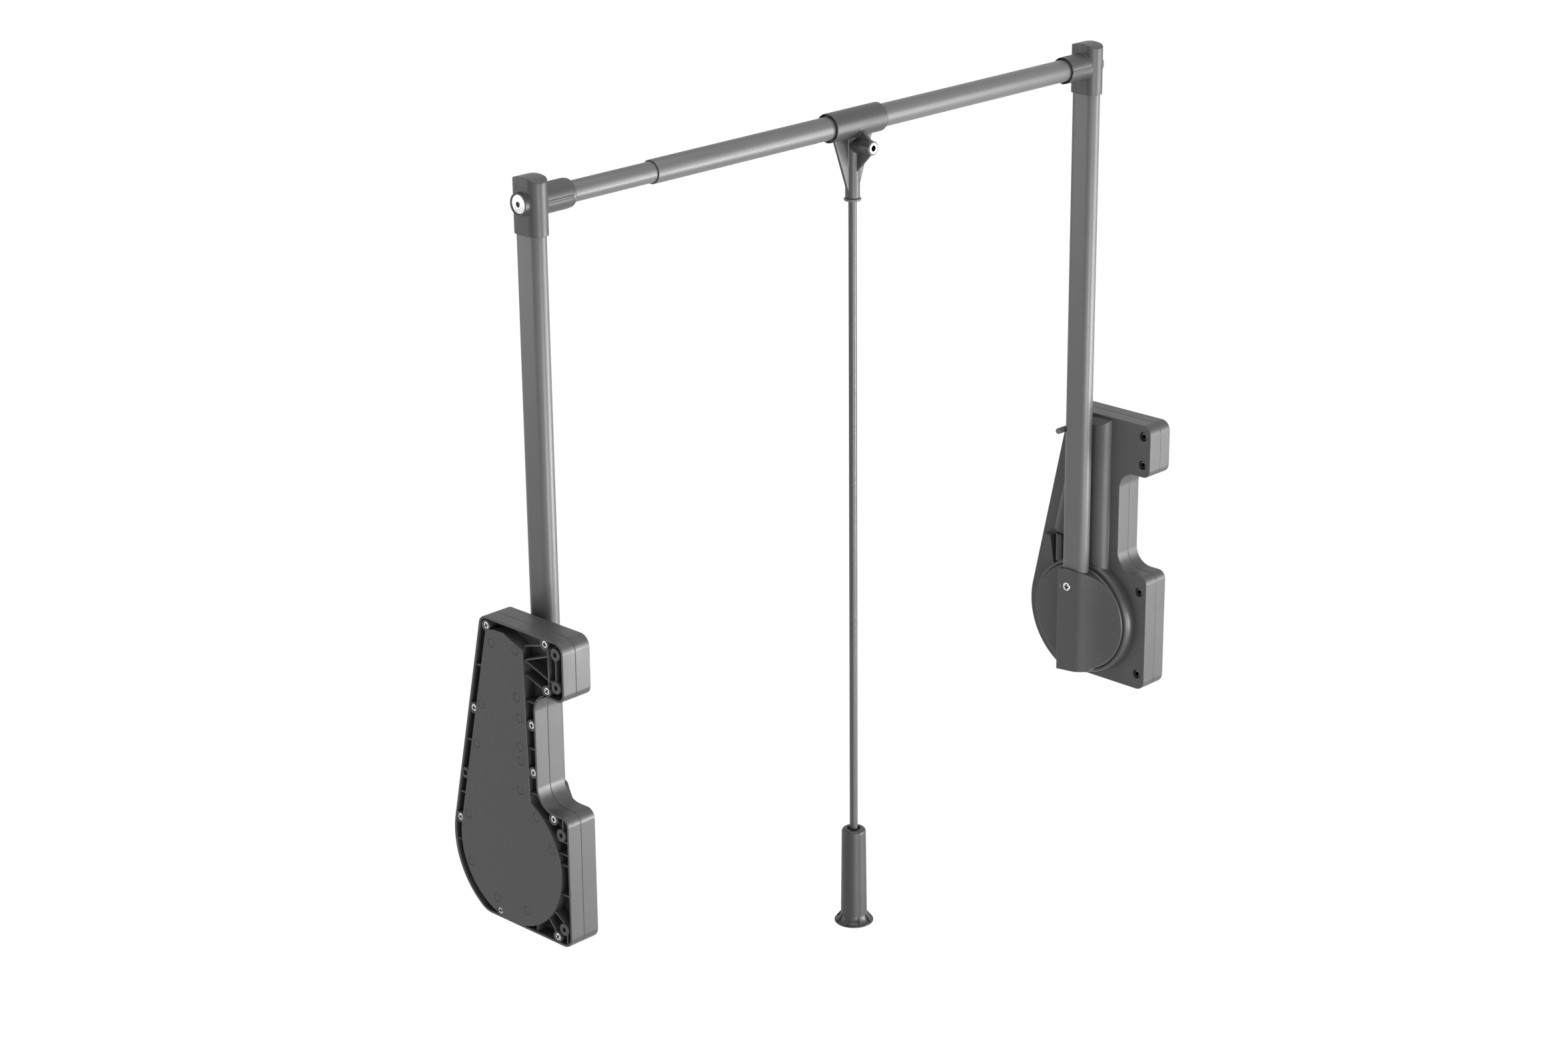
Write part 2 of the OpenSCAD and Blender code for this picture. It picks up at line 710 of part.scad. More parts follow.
module hub() color(plastic_colour) {
    low = case_width + hub_lift;
    top = case_width + socket_h;
    difference() {
        union() {
            bar_x(2 * hub_r, low, case_width + hub_face_h);
            bar_x(hub_boss_d, hub_boss_end, low + overrun);
            intersection() {
                translate([0, 0, -socket_low]) linear_extrude(socket_low + hub_r) polygon(concat(
                    [[low, -hub_r], [low, socket_back_y], [top - hub_edge, socket_back_y]],
                    [[top, socket_back_y - hub_edge]],
                    [for (i = [0:socket_round_steps]) crest_point(i / socket_round_steps)],
                    [for (i = [1:sweep_steps])
                        let (y = crest_end_y - (crest_end_y + hub_r) * i / sweep_steps)
                        [sweep_x(y), y]]
                ));
                union() {
                    bar_x(2 * socket_top_r, low, top + overrun);
                    along_x(case_width + ring_h + loose_gap, top + overrun) polygon(concat(
                        [[hub_r * socket_tab_shares[1][0], 0], [socket_back_y, 0]],
                        [[socket_back_y, -socket_low]], hub_r * socket_tab_shares
                    ));
                }
            }
        }
        arm_prism(seat_gap, arm_start, hub_r + overrun);
        difference() {
            bar_x(axle_d + 2 * turn_gap, hub_boss_end - overrun, axle_to);
            axle_flat_cut(turn_gap);
        }
        difference() {
            bar_x(hub_boss_d + overrun, ring_groove_x, ring_groove_x + ring_groove_w);
            bar_x(ring_groove_d, ring_groove_x - overrun, ring_groove_x + ring_groove_w + overrun);
        }
        bar_x(screw_dish_d, top - screw_dish_h, top + overrun, [arm_screw_y, arm_screw_z]);
        bar_x(arm_screw_head_d + 2 * slide_gap, low, top, [arm_screw_y, arm_screw_z]);
    }
    // Floor under the arm that takes the end of the arm screw
    difference() {
        bar_x(arm_screw_head_d + 2 * slide_gap + overrun, low, arm_offset - arm_thick / 2 - seat_gap,
            [arm_screw_y, arm_screw_z]);
        bar_x(arm_screw_d + 2 * turn_gap, arm_screw_end - turn_gap, arm_offset, [arm_screw_y, arm_screw_z]);
    }
}

// Slab that leaves the flat of the axle
module axle_flat_cut(gap) {
    translate([0, -axle_d, axle_flat + gap]) cube([case_width + socket_h, 2 * axle_d, axle_d]);
}

module hub_bearing() color(dark_colour) {
    difference() {
        union() {
            bar_x(hub_boss_d + 2 * bearing_wall, bearing_from, case_width);
            bar_x(bearing_flange_d, case_width, case_width + bearing_flange_h);
        }
        bar_x(hub_boss_d + 2 * turn_gap, bearing_from - overrun, case_width + hub_lift);
    }
}

module hub_axle() color(steel_colour) {
    difference() {
        bar_x(axle_d, axle_from, axle_to - seat_gap);
        axle_flat_cut(0);
    }
}

module retaining_ring() color(steel_colour) {
    difference() {
        bar_x(ring_outer_d, ring_groove_x + seat_gap, ring_groove_x + seat_gap + ring_thick);
        bar_x(ring_groove_d + 2 * turn_gap, ring_groove_x, ring_groove_x + ring_groove_w);
        translate([ring_groove_x, -ring_groove_d / 4, 0])
            cube([ring_groove_w, ring_groove_d / 2, ring_outer_d]);
    }
}

// Involute of a pressure angle, in degrees
function involute(angle) = tan(angle) * 180 / PI - angle;

// Outline of the pinion, with a tooth centred on each step of the turn
base_r = pitch_r * cos(pressure_angle);
tip_r = pitch_r + gear_module;
root_r = pitch_r - root_share * gear_module;
half_tooth = 90 / pinion_teeth - tooth_gap / 2 / pitch_r * 180 / PI + involute(pressure_angle);
function flank_turn(r) = half_tooth - involute(acos(min(1, base_r / r)));
flank_rs = [for (i = [0:flank_steps]) base_r + (tip_r - base_r) * i / flank_steps];
function tooth_points(centre) = concat(
    [[root_r, centre - flank_turn(base_r)]],
    [for (r = flank_rs) [r, centre - flank_turn(r)]],
    [for (i = [flank_steps:-1:0]) [flank_rs[i], centre + flank_turn(flank_rs[i])]],
    [[root_r, centre + flank_turn(base_r)]]
);
pinion_outline = [
    for (tooth = [0:pinion_teeth - 1])
        for (point = tooth_points(tooth * full_turn / pinion_teeth))
            [point[0] * cos(point[1]), point[0] * sin(point[1])]
];

module drive_pinion() color(steel_colour) {
    difference() {
        along_x(gear_from, gear_to) polygon(pinion_outline);
        difference() {
            bar_x(axle_d + 2 * turn_gap, gear_from - overrun, gear_to + overrun);
            axle_flat_cut(turn_gap);
        }
    }
}

// Toothed edge of a rack that faces lower Y, its gaps on whole pitches after the shift
function rack_edge(down, up, shift) = [
    for (i = [-down:up - 1])
        let (
            centre = (i + 0.5) * gear_pitch + shift,
            half = gear_pitch / 4 - tooth_gap / 2,
            tip = half - gear_module * tan(pressure_angle),
            foot = half + root_share * gear_module * tan(pressure_angle)
        )
        each [
            [pitch_r + root_share * gear_module, centre - foot],
            [pitch_r - gear_module, centre - tip],
            [pitch_r - gear_module, centre + tip],
            [pitch_r + root_share * gear_module, centre + foot]
        ]
];

module rack_bar(low, high, down, up, shift) {
    along_x(gear_from, gear_to) polygon(concat(
        [[rack_back_y, high], [rack_back_y, low], [pitch_r + root_share * gear_module, low]],
        rack_edge(down, up, shift),
        [[pitch_r + root_share * gear_module, high]]
    ));
}

module spring_rack() color(steel_colour) {
    seat_low = spring_low - spring_seat_h;
    mirror([0, 1, 0]) rack_bar(-rack_reach, spring_low, rack_teeth_down, rack_teeth_up, 0);
    translate([gear_from, -rack_back_y, seat_low])
        cube([spring_x - gear_from, rack_back_y + column_y, spring_seat_h]);
    translate([spring_x, column_y, seat_low]) {
        cylinder(d = spring_d, h = spring_seat_h);
        cylinder(d = spring_stud_d, h = spring_seat_h + spring_stud_h);
    }
}

module lift_spring() color(steel_colour) {
    translate([spring_x, column_y, spring_low]) difference() {
        cylinder(d = spring_d, h = anchor_z - spring_low);
        translate([0, 0, -overrun]) cylinder(d = spring_bore_d, h = anchor_z - spring_low + 2 * overrun);
    }
}

module spring_anchor() color(steel_colour) {
    half_hump(column_r - case_wall - slide_gap, column_x, column_y, back_depth + slide_gap,
        anchor_z, anchor_z + anchor_h - slide_gap);
    translate([spring_x, column_y, anchor_z - spring_stud_h])
        cylinder(d = spring_stud_d, h = spring_stud_h + anchor_h / 2);
}

module damper_rack() color(steel_colour) {
    slanted() difference() {
        union() {
            rack_bar(-damper_rack_reach, yoke_low + yoke_h, damper_teeth_down, damper_teeth_up,
                -case_taper * PI / 180 * pitch_r);
            translate([gear_from, rack_back_y - overrun, yoke_low])
                cube([gear_to - gear_from, damper_offset + yoke_reach - rack_back_y + overrun, yoke_h]);
            translate([gear_from, damper_offset - yoke_reach, yoke_low])
                cube([damper_x + yoke_reach - gear_from, 2 * yoke_reach, yoke_h]);
        }
        translate([damper_x, damper_offset, yoke_low - overrun])
            cylinder(d = damper_rod_d + 2 * turn_gap, h = yoke_h + 2 * overrun);
    }
}

module damper_rod() color(steel_colour) {
    slanted() translate([damper_x, damper_offset, yoke_low])
        cylinder(d = damper_rod_d, h = damper_rod_to - yoke_low);
}

module damper_cylinder() color(dark_colour) {
    slanted() translate([damper_x, damper_offset, damper_from]) difference() {
        cylinder(r = damper_r, h = damper_to - damper_from);
        translate([0, 0, -overrun])
            cylinder(d = damper_rod_d + 2 * slide_gap, h = damper_cap_h + 2 * overrun);
        translate([0, 0, damper_cap_h])
            cylinder(r = damper_r - case_wall, h = damper_to - damper_from - 2 * damper_cap_h);
    }
}

module stop_pin() color(steel_colour) {
    bar_x(stop_core_d, stop_from + stop_tip_h, case_width + stop_reach - stop_tip_h, [stop_y, stop_z]);
}

module stop_sleeve() color(dark_colour) {
    reach = case_width + stop_reach;
    translate([0, stop_y, stop_z]) rotate([0, 90, 0]) rotate_extrude() polygon(concat(
        [[stop_core_d / 2 + turn_gap, case_width + seat_gap], [stop_d / 2, case_width + seat_gap]],
        [for (i = [0:corner_steps]) let (turn = 90 * i / corner_steps)
            [stop_d / 2 - stop_tip_h * (1 - cos(turn)), reach - stop_tip_h + stop_tip_h * sin(turn)]],
        [[0, reach], [0, reach - stop_tip_h + seat_gap]],
        [[stop_core_d / 2 + turn_gap, reach - stop_tip_h + seat_gap]]
    ));
}

module arm_tube() color(tube_colour) {
    arm_top = rod_height - arm_top_gap;
    difference() {
        arm_prism(0, arm_start + seat_gap, arm_top);
        arm_prism(-arm_wall, 0, rod_height);
        bar_x(arm_screw_d + 2 * turn_gap, case_width, case_width + socket_h, [arm_screw_y, arm_screw_z]);
    }
}

module arm_screw() color(steel_colour) {
    seat = arm_offset + arm_thick / 2;
    at = [arm_screw_y, arm_screw_z];
    difference() {
        union() {
            bar_x(arm_screw_d, arm_screw_end, seat + overrun, at);
            bar_x(arm_screw_head_d, seat + turn_gap, seat + arm_screw_head_h, at);
        }
        cross_recess(arm_screw_head_d, arm_screw_head_h / 2, seat + arm_screw_head_h, at);
    }
}

module corner_cap() color(plastic_colour) {
    half = arm_depth / 2 + cap_wall;
    crown_r = (half * half + cap_crown * cap_crown) / 2 / cap_crown;
    outer_face = arm_offset - arm_thick / 2 - cap_wall;
    top_z = rod_height + cap_high;
    difference() {
        union() {
            intersection() {
                arm_prism(cap_wall, rod_height - cap_low, top_z);
                translate([0, 0, top_z - crown_r]) bar_x(2 * crown_r, 0, collar_end);
            }
            translate([0, 0, rod_height]) {
                bar_x(cap_boss_d, outer_face - cap_boss_h, arm_offset);
                bar_x(collar_d, arm_offset, collar_end);
                for (turn = [0:90:270]) rotate([turn, 0, 0])
                    translate([arm_offset, collar_d / 2 - overrun, -collar_rib_w / 2])
                        cube([collar_end - arm_offset, collar_rib_h + overrun, collar_rib_w]);
            }
        }
        arm_prism(seat_gap, 0, rod_height - arm_top_gap + seat_gap);
        translate([0, 0, rod_height]) {
            bar_x(outer_tube_d + 2 * seat_gap, rod_bore_from, collar_end + overrun);
            bar_x(mouth_d, collar_end - mouth_h, collar_end + overrun);
            bar_x(corner_screw_d + 2 * slide_gap, 0, collar_end);
            bar_x(corner_head_d + 2 * slide_gap, 0,
                outer_face - cap_boss_h + corner_head_sink + corner_head_h);
        }
    }
}

module corner_screw() color(steel_colour) {
    head = arm_offset - arm_thick / 2 - cap_wall - cap_boss_h + corner_head_sink;
    translate([0, 0, rod_height]) difference() {
        union() {
            bar_x(corner_head_d, head, head + corner_head_h);
            bar_x(corner_screw_d, head, corner_screw_end);
        }
        rotate([0, 90, 0]) translate([0, 0, head - overrun])
            cylinder(d = socket_key_d, h = socket_key_h + overrun, $fn = 6);
    }
}

// Plug in the end of a tube that takes the corner screw
module tube_plug(tube_bore) {
    color(dark_colour) translate([0, 0, rod_height]) difference() {
        bar_x(tube_bore - 2 * turn_gap, plug_from, plug_to);
        bar_x(corner_screw_d + 2 * turn_gap, 0, corner_screw_end + overrun);
    }
}

// Bores of the two tubes
outer_bore = outer_tube_d - 2 * outer_tube_wall;
inner_tube_d = outer_bore - 2 * slide_gap;
inner_bore = inner_tube_d - 2 * inner_tube_wall;

module inner_tube() color(tube_colour) {
    translate([0, 0, rod_height]) difference() {
        bar_x(inner_tube_d, rod_bore_from + seat_gap, outer_tube_start + tube_overlap);
        bar_x(inner_bore, 0, rod_span);
    }
}

module reducer_bush() color(plastic_colour) {
    translate([0, 0, rod_height]) difference() {
        union() {
            bar_x(outer_tube_d, plug_from, collar_end + seat_gap);
            bar_x(mouth_d - 2 * slide_gap, collar_end - mouth_h + seat_gap, collar_end + seat_gap);
            bar_x(bush_lip_d, collar_end + seat_gap, collar_end + bush_lip_w);
        }
        bar_x(inner_tube_d + 2 * turn_gap, 0, rod_span);
    }
}

module outer_tube() color(tube_colour) {
    translate([0, 0, rod_height]) difference() {
        bar_x(outer_tube_d, outer_tube_start, rod_span - rod_bore_from - seat_gap);
        bar_x(outer_bore, 0, rod_span);
    }
}

sleeve_bore = outer_tube_d + 2 * liner_wall + 2 * slide_gap;

module sleeve_liner() color(dark_colour) {
    half = sleeve_length / 2 - sleeve_mouth_h + seat_gap + liner_lip_w;
    translate([handle_x, 0, rod_height]) difference() {
        union() {
            bar_x(sleeve_bore - 2 * turn_gap, -half, half);
            for (side = [0, 1]) mirror([side, 0, 0])
                bar_x(sleeve_mouth_d - liner_lip_gap, half - liner_lip_w, half);
        }
        bar_x(outer_tube_d + 2 * turn_gap, -sleeve_length, sleeve_length);
    }
}

module pull_bracket() color(plastic_colour) {
    half = sleeve_length / 2;
    fin_side = handle_boss_d / 2 - fin_side_inset;
    gusset_foot = (stem_d - gusset_w) / 2;
    translate([handle_x, 0, rod_height]) difference() {
        union() {
            bar_x(sleeve_d, -half, half);
            translate([0, 0, -stem_drop]) cylinder(d = stem_d, h = stem_drop);
            rotate([90, 0, 0]) translate([0, 0, -gusset_w / 2]) linear_extrude(gusset_w) polygon([
                [-gusset_half_w, 0], [gusset_half_w, 0], [gusset_half_w, -sleeve_d / 2],
                [gusset_foot, -gusset_drop], [-gusset_foot, -gusset_drop], [-gusset_half_w, -sleeve_d / 2]
            ]);
            translate([0, 0, -boss_drop]) rotate([90, 0, 0])
                cylinder(d = handle_boss_d, h = handle_boss_reach);
            along_x(-gusset_w / 2, gusset_w / 2) polygon([
                [0, -fin_top_drop], [-fin_top_y, -fin_top_drop],
                [fin_end_inset - handle_boss_reach, fin_side - boss_drop],
                [fin_end_inset - handle_boss_reach, -fin_side - boss_drop],
                [0, -fin_low_drop - stem_d / 2]
            ]);
        }
        bar_x(sleeve_bore, -sleeve_length, sleeve_length);
        for (side = [0, 1]) mirror([side, 0, 0])
            bar_x(sleeve_mouth_d, half - sleeve_mouth_h, half + overrun);
        translate([0, overrun - handle_boss_reach + insert_length, -boss_drop]) rotate([90, 0, 0])
            cylinder(d = insert_d + 2 * turn_gap, h = insert_length + 2 * overrun);
        translate([0, 0, -stem_drop - overrun])
            cylinder(d = stem_insert_d + 2 * turn_gap, h = insert_length + 2 * overrun);
    }
}

module front_insert() color(brass_colour) {
    translate([handle_x, insert_length - handle_boss_reach, rod_height - boss_drop]) rotate([90, 0, 0])
        difference() {
            cylinder(d = insert_d, h = insert_length + insert_proud);
            translate([0, 0, -overrun])
                cylinder(d = insert_bore_d, h = insert_length + insert_proud + 2 * overrun);
        }
}

module stem_insert() color(brass_colour) {
    translate([handle_x, 0, rod_height - stem_drop]) difference() {
        cylinder(d = stem_insert_d, h = insert_length);
        translate([0, 0, -overrun]) cylinder(d = insert_bore_d, h = insert_length + 2 * overrun);
    }
}

rod_top = rod_height - stem_drop - seat_gap;

module pull_rod() color(tube_colour) {
    low = grip_inside_h + grip_web_h - grip_end;
    translate([handle_x, 0, low]) difference() {
        union() {
            cylinder(d = pull_rod_d, h = rod_top - low);
            cylinder(d = stud_d, h = rod_top - low + stud_length);
        }
        translate([0, 0, -overrun])
            cylinder(d = grip_screw_d + 2 * turn_gap, h = grip_screw_grab + 2 * overrun);
    }
}

module grip_screw() color(steel_colour) {
    translate([handle_x, 0, grip_inside_h - grip_end]) {
        cylinder(d = grip_screw_d, h = grip_web_h + grip_screw_grab);
        translate([0, 0, -grip_screw_head_h]) cylinder(d = grip_screw_head_d, h = grip_screw_head_h);
    }
}

module rod_collar() color(tube_colour) {
    translate([handle_x, 0, rod_top - collar_ring_h]) difference() {
        cylinder(d = collar_ring_d, h = collar_ring_h);
        translate([0, 0, -overrun])
            cylinder(d = pull_rod_d + 2 * turn_gap, h = collar_ring_h + 2 * overrun);
    }
}

module grip() color(plastic_colour) {
    flare_top = grip_flare_h;
    rib_turn = full_turn / grip_rib_count;
    translate([handle_x, 0, -grip_end]) {
        difference() {
            rotate_extrude() polygon(concat(
                [[0, 0], [grip_flare_d / 2, 0], [grip_flare_d / 2, grip_lip_h]],
                [for (i = [0:corner_steps]) let (turn = 90 * i / corner_steps)
                    [
                        grip_flare_d / 2 - (grip_flare_d - grip_low_d) / 2 * sin(turn),
                        grip_lip_h + (flare_top - grip_lip_h) * (1 - cos(turn))
                    ]],
                arc_points([grip_top_d / 2 - grip_edge_r, grip_length - grip_edge_r], grip_edge_r, 0, 90,
                    corner_steps),
                [[0, grip_length]]
            ));
            translate([0, 0, grip_length - grip_hole_h])
                cylinder(d = grip_hole_d, h = grip_hole_h + overrun);
            translate([0, 0, grip_inside_h + grip_web_h])
                cylinder(d = pull_rod_d + 2 * turn_gap, h = grip_length);
            translate([0, 0, grip_inside_h - overrun])
                cylinder(d = grip_screw_d + 2 * slide_gap, h = grip_web_h + 2 * overrun);
            translate([0, 0, -overrun]) cylinder(d = grip_inside_d, h = grip_inside_h + overrun);
        }
        for (i = [0:grip_rib_count - 1]) rotate([90, 0, (i + grip_rib_phase) * rib_turn])
            translate([0, 0, -grip_rib_w / 2]) linear_extrude(grip_rib_w) polygon([
                [grip_low_d / 2 - overrun, grip_lip_h], [grip_flare_d / 2 - overrun, grip_lip_h / 2],
                [grip_flare_d / 2 - overrun, grip_lip_h + overrun], [grip_low_d / 2 - overrun / 2, flare_top]
            ]);
    }
}

on_left() back_shell();  // left_back_shell
on_left() front_shell();  // left_front_shell
on_left() case_screws();  // left_case_screws
on_left() wall_bushings();  // left_wall_bushings
on_left() hub();  // left_hub
on_left() hub_bearing();  // left_hub_bearing
on_left() hub_axle();  // left_hub_axle
on_left() drive_pinion();  // left_drive_pinion
on_left() retaining_ring();  // left_retaining_ring
on_left() spring_rack();  // left_spring_rack
on_left() lift_spring();  // left_lift_spring
on_left() spring_anchor();  // left_spring_anchor
on_left() damper_rack();  // left_damper_rack
on_left() damper_rod();  // left_damper_rod
on_left() damper_cylinder();  // left_damper_cylinder
on_left() stop_pin();  // left_stop_pin
on_left() stop_sleeve();  // left_stop_sleeve
on_left() arm_tube();  // left_arm_tube
on_left() arm_screw();  // left_arm_screw
on_left() corner_cap();  // left_corner_cap
on_left() corner_screw();  // left_corner_screw
on_left() tube_plug(inner_bore);  // left_tube_plug
on_right() back_shell();  // right_back_shell
on_right() front_shell();  // right_front_shell
on_right() case_screws();  // right_case_screws
on_right() wall_bushings();  // right_wall_bushings
on_right() hub();  // right_hub
on_right() hub_bearing();  // right_hub_bearing
on_right() hub_axle();  // right_hub_axle
on_right() drive_pinion();  // right_drive_pinion
on_right() retaining_ring();  // right_retaining_ring
on_right() spring_rack();  // right_spring_rack
on_right() lift_spring();  // right_lift_spring
on_right() spring_anchor();  // right_spring_anchor
on_right() damper_rack();  // right_damper_rack
on_right() damper_rod();  // right_damper_rod
on_right() damper_cylinder();  // right_damper_cylinder
on_right() stop_pin();  // right_stop_pin
on_right() stop_sleeve();  // right_stop_sleeve
on_right() arm_tube();  // right_arm_tube
on_right() arm_screw();  // right_arm_screw
on_right() corner_cap();  // right_corner_cap
on_right() corner_screw();  // right_corner_screw
on_right() tube_plug(outer_bore);  // right_tube_plug
inner_tube();
reducer_bush();
outer_tube();
sleeve_liner();
pull_bracket();
front_insert();
stem_insert();
pull_rod();
rod_collar();
grip();
grip_screw();
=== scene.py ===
"""Dresses the pull down closet rod: moulded housings, swinging arms, telescopic rod and pull grip."""

import json
import math

import bmesh
import bpy
from bpy.props import FloatProperty, FloatVectorProperty, IntProperty, PointerProperty
from bpy.types import NodeSocket, Operator, Panel, PropertyGroup
from mathutils import Euler, Matrix, Vector
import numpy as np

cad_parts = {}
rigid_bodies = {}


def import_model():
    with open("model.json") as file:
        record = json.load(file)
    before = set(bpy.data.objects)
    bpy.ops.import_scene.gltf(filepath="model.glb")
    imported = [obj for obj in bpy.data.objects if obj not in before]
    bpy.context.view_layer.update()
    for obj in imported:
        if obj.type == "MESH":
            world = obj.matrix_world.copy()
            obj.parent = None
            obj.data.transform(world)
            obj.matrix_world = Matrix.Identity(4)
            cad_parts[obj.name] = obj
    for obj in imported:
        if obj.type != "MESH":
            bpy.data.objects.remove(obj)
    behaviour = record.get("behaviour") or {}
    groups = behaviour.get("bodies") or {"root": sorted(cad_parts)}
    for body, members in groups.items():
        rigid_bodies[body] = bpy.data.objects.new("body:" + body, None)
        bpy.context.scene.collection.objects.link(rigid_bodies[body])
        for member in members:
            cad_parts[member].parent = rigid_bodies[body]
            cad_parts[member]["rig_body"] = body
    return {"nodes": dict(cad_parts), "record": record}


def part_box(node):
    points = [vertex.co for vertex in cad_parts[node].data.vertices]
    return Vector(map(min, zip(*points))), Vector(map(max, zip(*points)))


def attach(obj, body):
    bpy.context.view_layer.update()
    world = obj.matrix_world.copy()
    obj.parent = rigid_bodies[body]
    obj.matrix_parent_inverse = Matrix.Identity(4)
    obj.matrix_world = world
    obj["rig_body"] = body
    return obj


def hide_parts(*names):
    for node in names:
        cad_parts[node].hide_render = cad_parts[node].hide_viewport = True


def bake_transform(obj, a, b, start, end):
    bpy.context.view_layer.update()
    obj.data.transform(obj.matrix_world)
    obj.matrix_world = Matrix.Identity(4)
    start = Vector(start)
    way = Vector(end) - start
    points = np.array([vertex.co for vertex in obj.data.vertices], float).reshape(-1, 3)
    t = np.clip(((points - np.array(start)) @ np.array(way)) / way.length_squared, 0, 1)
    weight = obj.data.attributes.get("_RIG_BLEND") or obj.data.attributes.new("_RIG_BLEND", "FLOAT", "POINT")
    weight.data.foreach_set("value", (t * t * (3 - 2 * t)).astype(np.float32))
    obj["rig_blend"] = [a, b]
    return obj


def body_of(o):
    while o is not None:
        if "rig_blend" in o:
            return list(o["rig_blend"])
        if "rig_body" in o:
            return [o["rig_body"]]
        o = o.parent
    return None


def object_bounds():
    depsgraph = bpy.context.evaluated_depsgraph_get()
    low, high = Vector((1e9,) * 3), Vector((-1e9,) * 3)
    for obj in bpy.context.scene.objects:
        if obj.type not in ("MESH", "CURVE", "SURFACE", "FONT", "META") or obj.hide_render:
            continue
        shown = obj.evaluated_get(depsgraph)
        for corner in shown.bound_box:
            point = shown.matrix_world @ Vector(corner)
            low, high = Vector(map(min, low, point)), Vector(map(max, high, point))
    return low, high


bl_info = {
    "name": "Pull Down Closet Rod",
    "version": (1, 0, 0),
    "blender": (4, 5, 0),
    "location": "View3D > Sidebar > Closet Rod",
    "description": "Finishes the solids of a pull down closet rod and builds its fine detail",
    "category": "Object",
}

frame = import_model()
NODES = frame["nodes"]
CAD_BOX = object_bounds()
SLOT = {entry["node"]: entry["material_slot"] for entry in frame["record"]["subparts"]}
BODY = {name: body_of(node)[0] for name, node in NODES.items()}
SIDES = ("left", "right")
ROD_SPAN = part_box("right_back_shell")[1].x
MM = 0.001
TO_MM = 1 / MM


# Shapes

SHARP = math.radians(28)
CREASE = math.radians(35)
FLAT = math.radians(0.3)
SQUARE = ((-1, -1), (1, -1), (1, 1), (-1, 1))
WELD = 1e-6


def wall_distance(side, point):
    """Distance of a point from the wall face of its own side."""
    return point.x if side == "left" else ROD_SPAN - point.x


def from_wall(side, distance, place):
    """The place moved along the rod to a distance from the wall face of its side."""
    return Vector((distance if side == "left" else ROD_SPAN - distance, place.y, place.z))


def span_of(side, node):
    """The lowest and highest distance of a node from the wall face of its side, and its middle."""
    low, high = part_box(node)
    near, far = sorted((wall_distance(side, low), wall_distance(side, high)))
    return near, far, (low + high) / 2


def inward(side):
    """Turn that lays an upright shape along the rod, its top towards the middle of the rod."""
    return Euler((0, math.pi / 2 if side == "left" else -math.pi / 2, 0))


def spun(turn, angle):
    """The same turn after a spin of the upright shape about its own axis."""
    return (turn.to_matrix() @ Matrix.Rotation(angle, 3, "Z")).to_euler()


def outward(side):
    """Turn that lays an upright shape along the rod, its top towards the wall."""
    return Euler((0, -math.pi / 2 if side == "left" else math.pi / 2, 0))


def solid_copy(name):
    """A solid's mesh with its loose triangles joined and its flat faces whole."""
    bm = bmesh.new()
    bm.from_mesh(NODES[name].data)
    bmesh.ops.remove_doubles(bm, verts=bm.verts, dist=WELD)
    bmesh.ops.dissolve_limit(bm, angle_limit=FLAT, verts=bm.verts, edges=bm.edges)
    return bm


def round_edges(bm, width, choose, segments=2):
    """Rounds the sharp edges that choose picks."""
    edges = [edge for edge in bm.edges
             if len(edge.link_faces) == 2 and edge.calc_face_angle(0) > SHARP and choose(edge)]
    bmesh.ops.bevel(bm, geom=edges, offset=width, offset_type="OFFSET", segments=segments, profile=0.5,
                    affect="EDGES", clamp_overlap=False, loop_slide=True)


def turned(bm, section, steps, closed=False):
    """Turns a section of radius and height pairs in millimetres about Z into a closed shape."""
    rings = []
    for radius, height in section:
        if radius < WELD:
            rings.append([bm.verts.new((0, 0, height * MM))] * steps)
        else:
            rings.append([bm.verts.new((radius * MM * math.cos(2 * math.pi * i / steps),
                                        radius * MM * math.sin(2 * math.pi * i / steps), height * MM))
                          for i in range(steps)])
    pairs = list(zip(rings, rings[1:])) + ([(rings[-1], rings[0])] if closed else [])
    for low, high in pairs:
        for i in range(steps):
            j = (i + 1) % steps
            corners = list(dict.fromkeys((low[i], low[j], high[j], high[i])))
            if len(corners) > 2:
                bm.faces.new(corners)
    bmesh.ops.recalc_face_normals(bm, faces=bm.faces)
    return bm


def arc(centre, radius, start, end, steps=4):
    """Points of a section's arc, angles in degrees."""
    return [(centre[0] + radius * math.cos(math.radians(start + (end - start) * i / steps)),
             centre[1] + radius * math.sin(math.radians(start + (end - start) * i / steps)))
            for i in range(steps + 1)]


def plate(bm, outline, low, high):
    """A flat plate of an outline in X and Z, in millimetres, between two places in Y."""
    base = [bm.verts.new((x * MM, low * MM, z * MM)) for x, z in outline]
    top = [bm.verts.new((x * MM, high * MM, z * MM)) for x, z in outline]
    bm.faces.new(base)
    bm.faces.new(top[::-1])
    for i in range(len(base)):
        j = (i + 1) % len(base)
        bm.faces.new((base[j], base[i], top[i], top[j]))
    bmesh.ops.recalc_face_normals(bm, faces=bm.faces)
    return bm


def soft_shaded(bm, name, cutters=()):
    """An object of the mesh with smooth faces, crisp creases and normals that follow its large faces."""
    draft = bpy.data.objects.new(name + "_draft", drawn(bm, name))
    for cutter in cutters:
        cut = draft.modifiers.new("cut", "BOOLEAN")
        cut.operation = "DIFFERENCE"
        cut.solver = "EXACT"
        cut.object = cutter
    if cutters:
        draft = settled(draft, name)
        crease(draft.data)
    weigh = draft.modifiers.new("weigh", "WEIGHTED_NORMAL")
    weigh.keep_sharp = True
    return settled(draft, name)


def drawn(bm, name):
    """A mesh with smooth faces and sharp creases."""
    mesh = bpy.data.meshes.new(name)
    bm.to_mesh(mesh)
    bm.free()
    crease(mesh)
    return mesh


